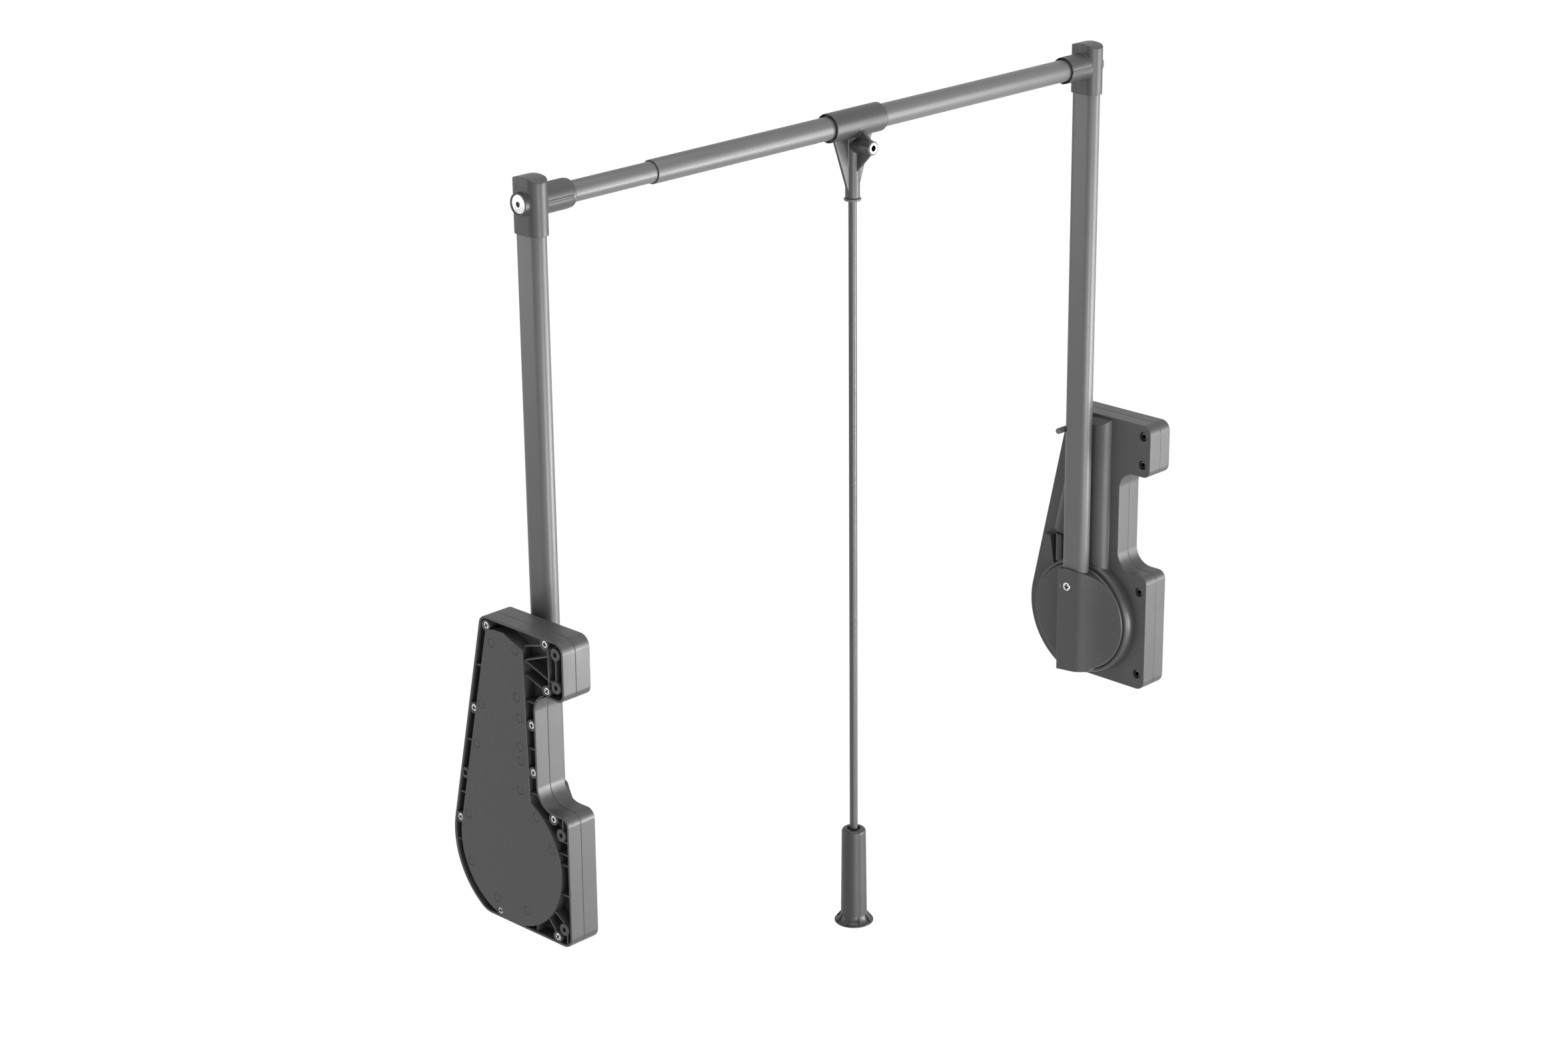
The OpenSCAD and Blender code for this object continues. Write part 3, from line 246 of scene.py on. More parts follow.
def crease(mesh):
    """Smooth faces with sharp edges at the wider angles."""
    mesh.shade_smooth()
    mesh.set_sharp_from_angle(angle=CREASE)


def linked(obj):
    """The object, linked to the scene."""
    scene = bpy.context.scene
    if obj.name not in scene.collection.objects:
        scene.collection.objects.link(obj)
    return obj


def settled(draft, name):
    """Turns a draft with modifiers into an object with a plain mesh."""
    linked(draft)
    graph = bpy.context.evaluated_depsgraph_get()
    mesh = bpy.data.meshes.new_from_object(draft.evaluated_get(graph), preserve_all_data_layers=True,
                                           depsgraph=graph)
    old = draft.data
    bpy.data.objects.remove(draft)
    bpy.data.meshes.remove(old)
    mesh.name = name
    piece = bpy.data.objects.new(name, mesh)
    return linked(piece)


EVEN_ROUNDS = 6
KEPT_FACES = 0.2


def remoulded(name, solid, grain):
    """A solid with all its edges and corners rounded by about two grains, as it comes out of its mould."""
    draft = bpy.data.objects.new(name + "_draft", drawn(solid_copy(solid), name))
    grid = draft.modifiers.new("grid", "REMESH")
    grid.mode = "VOXEL"
    grid.voxel_size = grain
    even = draft.modifiers.new("even", "SMOOTH")
    even.factor = 0.5
    even.iterations = EVEN_ROUNDS
    lighter = draft.modifiers.new("lighter", "DECIMATE")
    lighter.ratio = KEPT_FACES
    made = settled(draft, name)
    made.data.shade_smooth()
    return made


# Geometry Nodes

def new_tree(name, sockets):
    """A geometry tree with named inputs, and its input node."""
    tree = bpy.data.node_groups.new(name, "GeometryNodeTree")
    tree.interface.new_socket("Geometry", in_out="OUTPUT", socket_type="NodeSocketGeometry")
    for label, kind in sockets:
        tree.interface.new_socket(label, in_out="INPUT", socket_type="NodeSocket" + kind)
    return tree, tree.nodes.new("NodeGroupInput").outputs


def step(tree, kind, inputs, **settings):
    """One node with its settings, and its inputs given as values or as sockets to link."""
    node = tree.nodes.new(kind)
    for key, value in settings.items():
        setattr(node, key, value)
    for key, value in inputs.items():
        if isinstance(value, NodeSocket):
            tree.links.new(value, node.inputs[key])
        else:
            node.inputs[key].default_value = value
    return node.outputs[0]


def tree_end(tree, shape, material):
    """Realize Instances and Set Material, then the output."""
    real = step(tree, "GeometryNodeRealizeInstances", {"Geometry": shape})
    painted = step(tree, "GeometryNodeSetMaterial", {"Geometry": real, "Material": material})
    tree.links.new(painted, tree.nodes.new("NodeGroupOutput").inputs["Geometry"])


def repeat_tree():
    """Sets one item at each place, turned as the place says."""
    tree, given = new_tree("repeat_item", (
        ("Places", "Geometry"), ("Item", "Object"), ("Material", "Material")))
    item = tree.nodes.new("GeometryNodeObjectInfo")
    tree.links.new(given["Item"], item.inputs["Object"])
    turn = step(tree, "GeometryNodeInputNamedAttribute", {"Name": "turn"}, data_type="FLOAT_VECTOR")
    facing = step(tree, "FunctionNodeEulerToRotation", {"Euler": turn})
    many = step(tree, "GeometryNodeInstanceOnPoints", {
        "Points": given["Places"], "Instance": item.outputs["Geometry"], "Rotation": facing})
    tree_end(tree, many, given["Material"])
    return tree


UNDER_HALF = 0.49999
EDGE_STEPS = 3
WIRE_STEPS = 10


def tube_tree():
    """Sweeps a wall with rounded edges round a rectangle with the fullest corners it holds."""
    tree, given = new_tree("hollow_tube", (
        ("Width", "Float"), ("Depth", "Float"), ("Wall", "Float"), ("Length", "Float"),
        ("Edge", "Float"), ("Steps", "Int"), ("Material", "Material")))

    def less(a, b):
        return step(tree, "ShaderNodeMath", {0: a, 1: b}, operation="SUBTRACT")

    across, deep = less(given["Width"], given["Wall"]), less(given["Depth"], given["Wall"])
    least = step(tree, "ShaderNodeMath", {0: across, 1: deep}, operation="MINIMUM")
    corner = step(tree, "ShaderNodeMath", {0: least, 1: UNDER_HALF}, operation="MULTIPLY")
    path = step(tree, "GeometryNodeCurvePrimitiveQuadrilateral", {"Width": across, "Height": deep})
    path = step(tree, "GeometryNodeFilletCurve", {
        "Curve": path, "Count": given["Steps"], "Radius": corner, "Limit Radius": True}, mode="POLY")
    wall = step(tree, "GeometryNodeCurvePrimitiveQuadrilateral", {
        "Width": given["Wall"], "Height": given["Length"]})
    wall = step(tree, "GeometryNodeFilletCurve", {
        "Curve": wall, "Count": EDGE_STEPS, "Radius": given["Edge"], "Limit Radius": True}, mode="POLY")
    skin = step(tree, "GeometryNodeCurveToMesh", {"Curve": path, "Profile Curve": wall})
    skin = step(tree, "GeometryNodeMergeByDistance", {"Geometry": skin, "Distance": 2 * WELD})
    skin = step(tree, "GeometryNodeSetShadeSmooth", {"Geometry": skin, "Shade Smooth": True})
    tree_end(tree, skin, given["Material"])
    return tree


def coil_tree():
    """Sweeps a round wire along a helix."""
    tree, given = new_tree("wound_coil", (
        ("Turns", "Float"), ("Radius", "Float"), ("Height", "Float"), ("Wire", "Float"),
        ("Steps", "Int"), ("Material", "Material")))
    path = step(tree, "GeometryNodeCurveSpiral", {
        "Resolution": given["Steps"], "Rotations": given["Turns"], "Start Radius": given["Radius"],
        "End Radius": given["Radius"], "Height": given["Height"]})
    wire = step(tree, "GeometryNodeCurvePrimitiveCircle", {
        "Resolution": WIRE_STEPS, "Radius": given["Wire"]})
    skin = step(tree, "GeometryNodeCurveToMesh", {
        "Curve": path, "Profile Curve": wire, "Fill Caps": True})
    skin = step(tree, "GeometryNodeSetShadeSmooth", {"Geometry": skin, "Shade Smooth": True})
    tree_end(tree, skin, given["Material"])
    return tree


def grown(name, tree, values, places=None):
    """The tree's result for these inputs, as an object with a plain mesh."""
    host = bpy.data.objects.new(name + "_draft", places or bpy.data.meshes.new(name + "_host"))
    modifier = host.modifiers.new(tree.name, "NODES")
    modifier.node_group = tree
    for item in tree.interface.items_tree:
        if item.item_type == "SOCKET" and item.in_out == "INPUT" and item.name in values:
            modifier[item.identifier] = values[item.name]
    return settled(host, name)


def repeated(name, item, places, material):
    """Copies of an item at places and turns, as one object."""
    mesh = bpy.data.meshes.new(name + "_places")
    mesh.from_pydata([tuple(place) for place, turn in places], [], [])
    turns = mesh.attributes.new("turn", "FLOAT_VECTOR", "POINT")
    for entry, (place, turn) in zip(turns.data, places):
        entry.vector = tuple(turn)
    linked(item)
    made = grown(name, bpy.data.node_groups.get("repeat_item") or repeat_tree(), {
        "Item": item, "Material": material}, mesh)
    bpy.data.objects.remove(item)
    if "turn" in made.data.attributes:
        made.data.attributes.remove(made.data.attributes["turn"])
    return made


CORNER_STEPS = 24


def tube(name, sizes, place, turn):
    """A hollow tube of width, depth, wall, length and edge rounding in metres."""
    made = grown(name, bpy.data.node_groups.get("hollow_tube") or tube_tree(), {
        **dict(zip(("Width", "Depth", "Wall", "Length", "Edge"), sizes)),
        "Steps": CORNER_STEPS, "Material": FINISHES["charcoal_tube"]})
    made.data.transform(Matrix.Translation(place) @ turn.to_matrix().to_4x4())
    return made


# Finishes

def node_tree(name):
    """A new material with only a shader and its output."""
    material = bpy.data.materials.new(name)
    material.use_nodes = True
    tree = material.node_tree
    tree.nodes.clear()
    out = tree.nodes.new("ShaderNodeOutputMaterial")
    shader = tree.nodes.new("ShaderNodeBsdfPrincipled")
    tree.links.new(shader.outputs["BSDF"], out.inputs["Surface"])
    return material, tree, shader


def noise(tree, scale, detail=3.0, stretch=(1, 1, 1), roughness=0.5):
    """A noise pattern on Object coordinates."""
    coordinates = tree.nodes.new("ShaderNodeTexCoord")
    mapping = tree.nodes.new("ShaderNodeMapping")
    mapping.inputs["Scale"].default_value = stretch
    pattern = tree.nodes.new("ShaderNodeTexNoise")
    pattern.inputs["Scale"].default_value = scale
    pattern.inputs["Detail"].default_value = detail
    pattern.inputs["Roughness"].default_value = roughness
    tree.links.new(coordinates.outputs["Object"], mapping.inputs["Vector"])
    tree.links.new(mapping.outputs["Vector"], pattern.inputs["Vector"])
    return pattern.outputs["Fac"]


# Most values of a noise pattern lie between these
NOISE_LOW, NOISE_HIGH = 0.3, 0.7


def ramp(tree, fac, low, high, start=NOISE_LOW, end=NOISE_HIGH):
    """A two stop colour ramp."""
    node = tree.nodes.new("ShaderNodeValToRGB")
    node.color_ramp.elements[0].position = start
    node.color_ramp.elements[1].position = end
    node.color_ramp.elements[0].color = (*low, 1)
    node.color_ramp.elements[1].color = (*high, 1)
    tree.links.new(fac, node.inputs["Fac"])
    return node.outputs["Color"]


def spread(tree, fac, low, high):
    """A value carried from the pattern's range to another one."""
    node = tree.nodes.new("ShaderNodeMapRange")
    node.inputs["From Min"].default_value = NOISE_LOW
    node.inputs["From Max"].default_value = NOISE_HIGH
    node.inputs["To Min"].default_value = low
    node.inputs["To Max"].default_value = high
    tree.links.new(fac, node.inputs["Value"])
    return node.outputs["Result"]


def bump(tree, shader, height, strength, distance):
    """A bump on the shader's normal."""
    node = tree.nodes.new("ShaderNodeBump")
    node.inputs["Strength"].default_value = strength
    node.inputs["Distance"].default_value = distance
    tree.links.new(height, node.inputs["Height"])
    tree.links.new(node.outputs["Normal"], shader.inputs["Normal"])


def tint(colour, factor):
    """The colour made darker or lighter."""
    return tuple(min(1.0, c * factor) for c in colour[:3])


def moulded_plastic(name, colour, roughness, grain, depth):
    """Injection moulded plastic with a fine spark eroded grain."""
    material, tree, shader = node_tree(name)
    shader.inputs["IOR"].default_value = 1.5
    shader.inputs["Specular IOR Level"].default_value = 0.45
    fine = noise(tree, grain, 2.0, roughness=0.6)
    cloudy = noise(tree, 38.0, 4.0)
    mixed = tree.nodes.new("ShaderNodeMixRGB")
    mixed.blend_type = "MULTIPLY"
    mixed.inputs["Fac"].default_value = 1.0
    tree.links.new(ramp(tree, fine, tint(colour, 0.84), tint(colour, 1.16)), mixed.inputs["Color1"])
    tree.links.new(ramp(tree, cloudy, (0.93, 0.93, 0.93), (1, 1, 1)), mixed.inputs["Color2"])
    tree.links.new(mixed.outputs["Color"], shader.inputs["Base Color"])
    tree.links.new(spread(tree, cloudy, roughness - 0.04, roughness + 0.04), shader.inputs["Roughness"])
    bump(tree, shader, fine, 0.35, depth)
    return material


def powder_coat(name, colour, roughness, grain, depth):
    """Textured powder coat with fine light specks."""
    material, tree, shader = node_tree(name)
    shader.inputs["IOR"].default_value = 1.5
    fine = noise(tree, grain, 3.0, roughness=0.7)
    specks = noise(tree, grain * 1.7, 1.0)
    mixed = tree.nodes.new("ShaderNodeMixRGB")
    mixed.blend_type = "MULTIPLY"
    mixed.inputs["Fac"].default_value = 1.0
    tree.links.new(ramp(tree, specks, tint(colour, 0.94), tint(colour, 1.06), 0.35, 0.65),
                   mixed.inputs["Color1"])
    tree.links.new(ramp(tree, noise(tree, 24.0, 3.0), (0.94, 0.94, 0.94), (1, 1, 1)),
                   mixed.inputs["Color2"])
    tree.links.new(mixed.outputs["Color"], shader.inputs["Base Color"])
    tree.links.new(spread(tree, specks, roughness - 0.03, roughness + 0.03), shader.inputs["Roughness"])
    bump(tree, shader, fine, 0.25, depth)
    return material


def drawn_metal(name, colour, roughness, stretch, depth):
    """Bare metal with fine drawn lines, a cloudy plating and painted shade where the recess attribute is 1.
    """
    material, tree, shader = node_tree(name)
    shader.inputs["Metallic"].default_value = 1.0
    lines = noise(tree, 900.0, 4.0, stretch)
    cloudy = noise(tree, 120.0, 3.0)
    recess = tree.nodes.new("ShaderNodeAttribute")
    recess.attribute_name = "recess"
    shaded = tree.nodes.new("ShaderNodeMixRGB")
    # Painted shade: where the recess attribute is set, the colour falls to 6 per cent of the metal's own
    shaded.inputs["Color2"].default_value = (*tint(colour, 0.06), 1)
    tree.links.new(recess.outputs["Fac"], shaded.inputs["Fac"])
    tree.links.new(ramp(tree, cloudy, tint(colour, 0.9), tint(colour, 1.06)), shaded.inputs["Color1"])
    tree.links.new(shaded.outputs["Color"], shader.inputs["Base Color"])
    tree.links.new(spread(tree, lines, roughness - 0.08, roughness + 0.08), shader.inputs["Roughness"])
    bump(tree, shader, lines, 0.3, depth)
    return material


FINISHES = {}
# The finish of the solids that are darker than their material slot
DARKER = {"pull_rod": "dark_rod", "grip": "dark_grip"}
ROD_SHADE, GRIP_SHADE = 0.5, 0.66


def make_finishes(look):
    """One material for each material slot of the record, and the two darker ones."""
    for name, shade in (("charcoal_plastic", 1.0), ("dark_grip", GRIP_SHADE)):
        FINISHES[name] = moulded_plastic(
            name, tint(look.plastic, shade), look.plastic_gloss, grain=1100.0, depth=0.00005)
    for name, shade in (("charcoal_tube", 1.0), ("dark_rod", ROD_SHADE)):
        FINISHES[name] = powder_coat(
            name, tint(look.tube, shade), look.tube_gloss, grain=1500.0, depth=0.00004)
    FINISHES["black_plastic"] = moulded_plastic(
        "black_plastic", (0.014, 0.014, 0.015), 0.45, grain=900.0, depth=0.00004)
    FINISHES["black_rubber"] = moulded_plastic(
        "black_rubber", (0.1, 0.1, 0.1), 0.6, grain=700.0, depth=0.00008)
    for name, colour, roughness, stretch in (
            ("zinc_steel", (0.62, 0.62, 0.62), 0.3, (1, 1, 0.2)),
            ("spring_steel", (0.32, 0.33, 0.34), 0.35, (1, 1, 4)),
            ("brass", (0.24, 0.23, 0.21), 0.3, (1, 0.2, 1))):
        FINISHES[name] = drawn_metal(name, colour, roughness, stretch, depth=0.00003)


def finish(piece, *solids):
    """Gives a piece the finish and the body of the solids it stands for, and hides them."""
    piece.data.materials.clear()
    piece.data.materials.append(FINISHES[DARKER.get(solids[0]) or SLOT[solids[0]]])
    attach(piece, BODY[solids[0]])
    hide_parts(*solids)
    return piece


# Sizes and colours

class ClosetRodSizes(PropertyGroup):
    """Sizes of the fine detail."""
    shell_edge: FloatProperty(
        name="Shell rounding", description="Rounding of the inner edge of a housing", unit="LENGTH",
        default=0.0012, min=0.0002, max=0.002)
    fine_edge: FloatProperty(
        name="Fine rounding", description="Rounding of the small moulded edges", unit="LENGTH",
        default=0.0005, min=0.0001, max=0.0008)
    parting_edge: FloatProperty(
        name="Parting line", description="Depth of the line between the two shells", unit="LENGTH",
        default=0.0007, min=0.0001, max=0.0008)
    mark_groove: FloatProperty(
        name="Mark groove", description="Width of the groove round a moulding mark", unit="LENGTH",
        default=0.0008, min=0.0002, max=0.002)
    mould_grain: FloatProperty(
        name="Mould grain", description="Grid of the rounded hubs, caps and bracket", unit="LENGTH",
        default=0.0006, min=0.0003, max=0.001)
    spring_turns: IntProperty(
        name="Spring turns", description="Turns of a lift spring", default=26, min=10, max=40)
    grip_ribs: IntProperty(
        name="Grip ribs", description="Ribs on the flare of the grip", default=8, min=4, max=16)


class ClosetRodLook(PropertyGroup):
    """Colours and gloss of the visible parts."""
    plastic: FloatVectorProperty(
        name="Plastic", description="Colour of the moulded housings, caps and grip", subtype="COLOR",
        default=(0.042, 0.042, 0.042), min=0, max=1)
    plastic_gloss: FloatProperty(
        name="Plastic roughness", description="Roughness of the moulded plastic", default=0.42,
        min=0.1, max=1)
    tube: FloatVectorProperty(
        name="Tube", description="Colour of the powder coated tubes", subtype="COLOR",
        default=(0.088, 0.088, 0.088), min=0, max=1)
    tube_gloss: FloatProperty(
        name="Tube roughness", description="Roughness of the powder coat", default=0.4, min=0.1, max=1)


class ClosetRodStage(PropertyGroup):
    """Camera, floor and lamps."""
    camera_place: FloatVectorProperty(
        name="Camera place", description="Where the camera stands", subtype="TRANSLATION", unit="LENGTH",
        default=(-2.0013, -2.3451, 1.4587))
    camera_yaw: FloatProperty(
        name="Camera yaw", description="Turn of the view to the right of straight back", subtype="ANGLE",
        default=math.radians(45.716))
    camera_pitch: FloatProperty(
        name="Camera pitch", description="Tilt of the view below level", subtype="ANGLE",
        default=math.radians(19.746))
    camera_roll: FloatProperty(
        name="Camera roll", description="Roll of the view", subtype="ANGLE", default=math.radians(-0.541))
    camera_lens: FloatProperty(
        name="Lens", description="Focal length on a 36 mm wide sensor", default=76.286, min=20, max=200)
    floor_drop: FloatProperty(
        name="Floor depth", description="Floor below the grip", unit="LENGTH", default=1.5, min=0.0, max=3)


# Stage

FLOOR_HALF = 30.0
WORLD_SOFTNESS = 0.33
SENSOR_WIDTH = 36
VIEW_END = 100
# Name, place, aim, size and power of each lamp, in metres and watts
LAMPS = (
    ("key_lamp", (2.9, -2.8, 0.1), (0.5, 0, 0.25), (2.2, 2.2), 140.0),
    ("low_lamp", (1.5, -1.9, -0.35), (0, 0, 0.2), (0.6, 0.5), 38.0),
    ("front_lamp", (-0.6, -2.7, -0.5), (0.95, 0, 0.1), (1.3, 1.2), 72.0),
    ("side_lamp", (-2.5, -1.5, -0.1), (0.4, 0, 0.3), (0.5, 1.1), 10.0),
    ("fill_lamp", (-2.3, 2.9, 0.6), (0.3, 0, 0.3), (1.8, 1.6), 32.0),
    ("top_lamp", (0.4, -0.4, 3.6), (0.4, 0, 0.2), (2.4, 1.6), 62.0),
)


def seen_rays(tree):
    """One for camera, glossy and transmission rays."""
    path = tree.nodes.new("ShaderNodeLightPath")
    total = path.outputs["Is Camera Ray"]
    for name in ("Is Glossy Ray", "Is Transmission Ray"):
        add = tree.nodes.new("ShaderNodeMath")
        add.operation = "MAXIMUM"
        tree.links.new(total, add.inputs[0])
        tree.links.new(path.outputs[name], add.inputs[1])
        total = add.outputs[0]
    return total


def seen_white(tree, out, plain, kind):
    """Plain white for the camera and in reflections, the plain shader for all other light."""
    white = tree.nodes.new(kind)
    white.inputs["Color"].default_value = (1, 1, 1, 1)
    white.inputs["Strength"].default_value = 1.0
    mix = tree.nodes.new("ShaderNodeMixShader")
    tree.links.new(seen_rays(tree), mix.inputs[0])
    tree.links.new(plain.outputs[0], mix.inputs[1])
    tree.links.new(white.outputs[0], mix.inputs[2])
    tree.links.new(mix.outputs[0], out.inputs["Surface"])


def lay_floor(scene, height):
    """A wide pale floor that keeps the object's shadow."""
    material, tree, shader = node_tree("stage_white")
    shader.inputs["Roughness"].default_value = 0.9
    shader.inputs["Base Color"].default_value = (0.9, 0.9, 0.9, 1)
    out = next(node for node in tree.nodes if node.type == "OUTPUT_MATERIAL")
    seen_white(tree, out, shader, "ShaderNodeEmission")
    mesh = bpy.data.meshes.new("stage_floor")
    corners = [(x * FLOOR_HALF, y * FLOOR_HALF, height) for x, y in SQUARE]
    mesh.from_pydata(corners, [], [(0, 1, 2, 3)])
    mesh.materials.append(material)
    floor = bpy.data.objects.new("stage_floor", mesh)
    scene.collection.objects.link(floor)


def light_world(scene):
    """Soft light from all round."""
    world = bpy.data.worlds.new("studio")
    scene.world = world
    world.use_nodes = True
    tree = world.node_tree
    tree.nodes.clear()
    out = tree.nodes.new("ShaderNodeOutputWorld")
    soft = tree.nodes.new("ShaderNodeBackground")
    soft.inputs["Color"].default_value = (1, 1, 1, 1)
    soft.inputs["Strength"].default_value = WORLD_SOFTNESS
    seen_white(tree, out, soft, "ShaderNodeBackground")


def hang_lamps(scene):
    """Wide lamps round the object."""
    for name, place, aim, size, power in LAMPS:
        lamp = bpy.data.lights.new(name, "AREA")
        lamp.shape = "RECTANGLE"
        lamp.size, lamp.size_y = size
        lamp.energy = power
        piece = bpy.data.objects.new(name, lamp)
        piece.location = place
        piece.rotation_euler = (Vector(aim) - Vector(place)).to_track_quat("-Z", "Y").to_euler()
        scene.collection.objects.link(piece)


def set_camera(scene, stage):
    """The camera at the photograph's place and angle."""
    camera = bpy.data.objects.new("camera", bpy.data.cameras.new("camera"))
    camera.data.sensor_width = SENSOR_WIDTH
    camera.data.lens = stage.camera_lens
    camera.data.clip_end = VIEW_END
    yaw, pitch = stage.camera_yaw, stage.camera_pitch
    look = Vector((math.sin(yaw) * math.cos(pitch), math.cos(yaw) * math.cos(pitch), -math.sin(pitch)))
    side = Vector((math.cos(yaw), -math.sin(yaw), 0))
    turn = Matrix((side, side.cross(look), -look)).transposed()
    turn = turn @ Matrix.Rotation(stage.camera_roll, 3, "Z")
    camera.matrix_world = Matrix.Translation(stage.camera_place) @ turn.to_4x4()
    scene.collection.objects.link(camera)
    scene.camera = camera


class CLOSETROD_OT_stage(Operator):
    """Build the floor, the lamps and the camera"""
    bl_idname = "closetrod.stage"
    bl_label = "Stage"

    def execute(self, context):
        scene = context.scene
        stage = scene.closet_rod_stage
        lay_floor(scene, CAD_BOX[0].z - stage.floor_drop)
        light_world(scene)
        hang_lamps(scene)
        set_camera(scene, stage)
        scene.view_settings.view_transform = "Standard"
        return {"FINISHED"}


class CLOSETROD_OT_solids(Operator):
    """Give every solid of the frame its finish"""
    bl_idname = "closetrod.solids"
    bl_label = "Solids"

    def execute(self, context):
        make_finishes(context.scene.closet_rod_look)
        for name, node in NODES.items():
            node.data.materials.clear()
            node.data.materials.append(FINISHES[SLOT[name]])
        return {"FINISHED"}


# Housings

# The bearing ring stands this far out of the front of a housing
RING_HEIGHT = 12 * MM
BACK_DEPTH = span_of("left", "left_back_shell")[1]
CASE_WIDTH = span_of("left", "left_front_shell")[1] - RING_HEIGHT
# The side walls of a shell run nearly as far along X as the shell is deep
WALL_SHORT = 2 * MM
RIM_RUN = 5 * MM
# The round moulding marks of the outer face
MARK_D = 9.6 * MM
MARK_DEPTH = 0.3 * MM
MARK_ROUND = 0.2 * MM
MARK_POINTS = 12


def depths(side, edge):
    """Distances of an edge's two ends from the wall face."""
    return [wall_distance(side, vert.co) for vert in edge.verts]


def reach(side, edge):
    """The longest run along X of the two faces at an edge."""
    runs = []
    for face in edge.link_faces:
        places = [wall_distance(side, vert.co) for vert in face.verts]
        runs.append(max(places) - min(places))
    return max(runs)


def rim(side, depth, run):
    """Picks the convex edges at a depth where a wall longer than run ends."""
    def choose(edge):
        level = all(abs(place - depth) < 10 * WELD for place in depths(side, edge))
        return edge.is_convex and level and reach(side, edge) > run
    return choose


def raised(side):
    """Picks the convex edges that stand on the front face of a housing."""
    return lambda edge: edge.is_convex and min(depths(side, edge)) > CASE_WIDTH - WELD


def is_mark(side, face):
    """Whether a face is the sunken floor of a moulding mark."""
    if len(face.verts) < MARK_POINTS or face.normal.x * (1 if side == "left" else -1) >= 0:
        return False
    if max(wall_distance(side, vert.co) for vert in face.verts) > 10 * MARK_DEPTH:
        return False
    centre = face.calc_center_median()
    radii = [(vert.co - centre).length for vert in face.verts]
    return max(radii) < 0.55 * MARK_D and max(radii) - min(radii) < MARK_ROUND


def ring_marks(bm, side, width):
    """Turns each sunken moulding mark of the panel into a groove round a flush disc."""
    floors = [face for face in bm.faces if is_mark(side, face)]
    for depth in (-MARK_DEPTH, 2 * MARK_DEPTH):
        bmesh.ops.inset_individual(bm, faces=floors, thickness=width / 2, depth=depth)


class CLOSETROD_OT_housings(Operator):
    """Round the edges of both housings and open their parting line"""
    bl_idname = "closetrod.housings"
    bl_label = "Housings"

    def execute(self, context):
        sizes = context.scene.closet_rod_sizes
        front_run = CASE_WIDTH - BACK_DEPTH - WALL_SHORT
        for side in SIDES:
            front = solid_copy(side + "_front_shell")
            round_edges(front, sizes.shell_edge, rim(side, CASE_WIDTH, front_run), 3)
            round_edges(front, sizes.fine_edge, raised(side))
            round_edges(front, sizes.parting_edge, rim(side, BACK_DEPTH, front_run))
            finish(soft_shaded(front, side + "_front_cover"), side + "_front_shell")
            back = solid_copy(side + "_back_shell")
            ring_marks(back, side, sizes.mark_groove)
            round_edges(back, sizes.parting_edge, rim(side, 0, RIM_RUN))
            round_edges(back, sizes.parting_edge, rim(side, BACK_DEPTH, BACK_DEPTH - WALL_SHORT))
            finish(soft_shaded(back, side + "_back_cover"), side + "_back_shell")
        return {"FINISHED"}


# Screws and bushings

# Head diameter, head height, shank diameter and length in millimetres, and facets
CASE_SCREW = (8, 2.2, 3.4, 29, 32)
ARM_SCREW = (11, 2.35, 4.9, 28.8, 48)
# Shares of the head's height; the recess rim and floor also bound the painted shade of the cross recess
HEAD_ROUND, CROWN_DROP, CROSS_DEPTH, RECESS_RIM, RECESS_FLOOR = 0.42, 0.02, 0.75, 0.06, 0.9
# Shares of the head's diameter; the recess radius also bounds the painted shade of the cross recess
CROWN_R, CROSS_REACH, CROSS_TOP, CROSS_FOOT, RECESS_R = 0.275, 0.36, 0.1, 0.07, 0.39
CUT_OVERRUN = 0.4
ROUND_STEPS, BUSHING_STEPS, KEY_SIDES = 64, 40, 6
# The crosses of a row of screws stand at uneven angles
FIRST_SPIN, NEXT_SPIN = 0.5, 2.4


def cross_bar(head_d, head_h):
    """One bar of the cross, narrower and shorter at its foot."""
    half = CROSS_REACH * head_d * MM
    bar = bmesh.new()
    rings = []
    for length, share, height in (
            (half, CROSS_TOP, CUT_OVERRUN), (half / 2, CROSS_FOOT, -CROSS_DEPTH * head_h)):
        wide = share * head_d * MM
        rings.append([bar.verts.new((x * length, y * wide, height * MM)) for x, y in SQUARE])
    top, foot = rings
    bar.faces.new(top)
    bar.faces.new(foot[::-1])
    for i in range(len(SQUARE)):
        j = (i + 1) % len(SQUARE)
        bar.faces.new((foot[i], foot[j], top[j], top[i]))
    bmesh.ops.recalc_face_normals(bar, faces=bar.faces)
    return bar


def cross_head(name, screw):
    """A domed screw head with a cross recess darkened by painted shade, and its shank, the top of the head at
    zero.
    """
    head_d, head_h, shank_d, length, steps = screw
    r, edge = head_d / 2, HEAD_ROUND * head_h
    bm = turned(bmesh.new(), [
        (0, 0), (CROWN_R * head_d, -CROWN_DROP * head_h), *arc((r - edge, -edge), edge, 75, 0), (r, -head_h),
        (shank_d / 2, -head_h), (shank_d / 2, shank_d - length), (0, -length)], steps)
    cutters = []
    for turn in (0, 90):
        bar = cross_bar(head_d, head_h)
        bar.transform(Matrix.Rotation(math.radians(turn), 4, "Z"))
        cutters.append(cutter_of(bar, f"{name}_cut_{turn}"))
    made = soft_shaded(bm, name, cutters)
    for cutter in cutters:
        bpy.data.objects.remove(cutter)
    # Painted shade: the faces of the cross recess are darkened through the recess attribute
    return painted_shade(made, RECESS_R * head_d, -RECESS_FLOOR * head_h, -RECESS_RIM * head_h)


def cutter_of(bm, name):
    """An object of the mesh that cuts another one."""
    return linked(bpy.data.objects.new(name, drawn(bm, name)))


def painted_shade(piece, radius, low, high, amount=1.0):
    """Marks the faces inside a radius between two heights in millimetres with the recess attribute, which
    paints shade on them.
    """
    marks = piece.data.attributes.new("recess", "FLOAT", "FACE")
    for face, mark in zip(piece.data.polygons, marks.data):
        x, y, z = face.center * TO_MM
        if math.hypot(x, y) < radius and low < z < high:
            mark.value = amount
    return piece


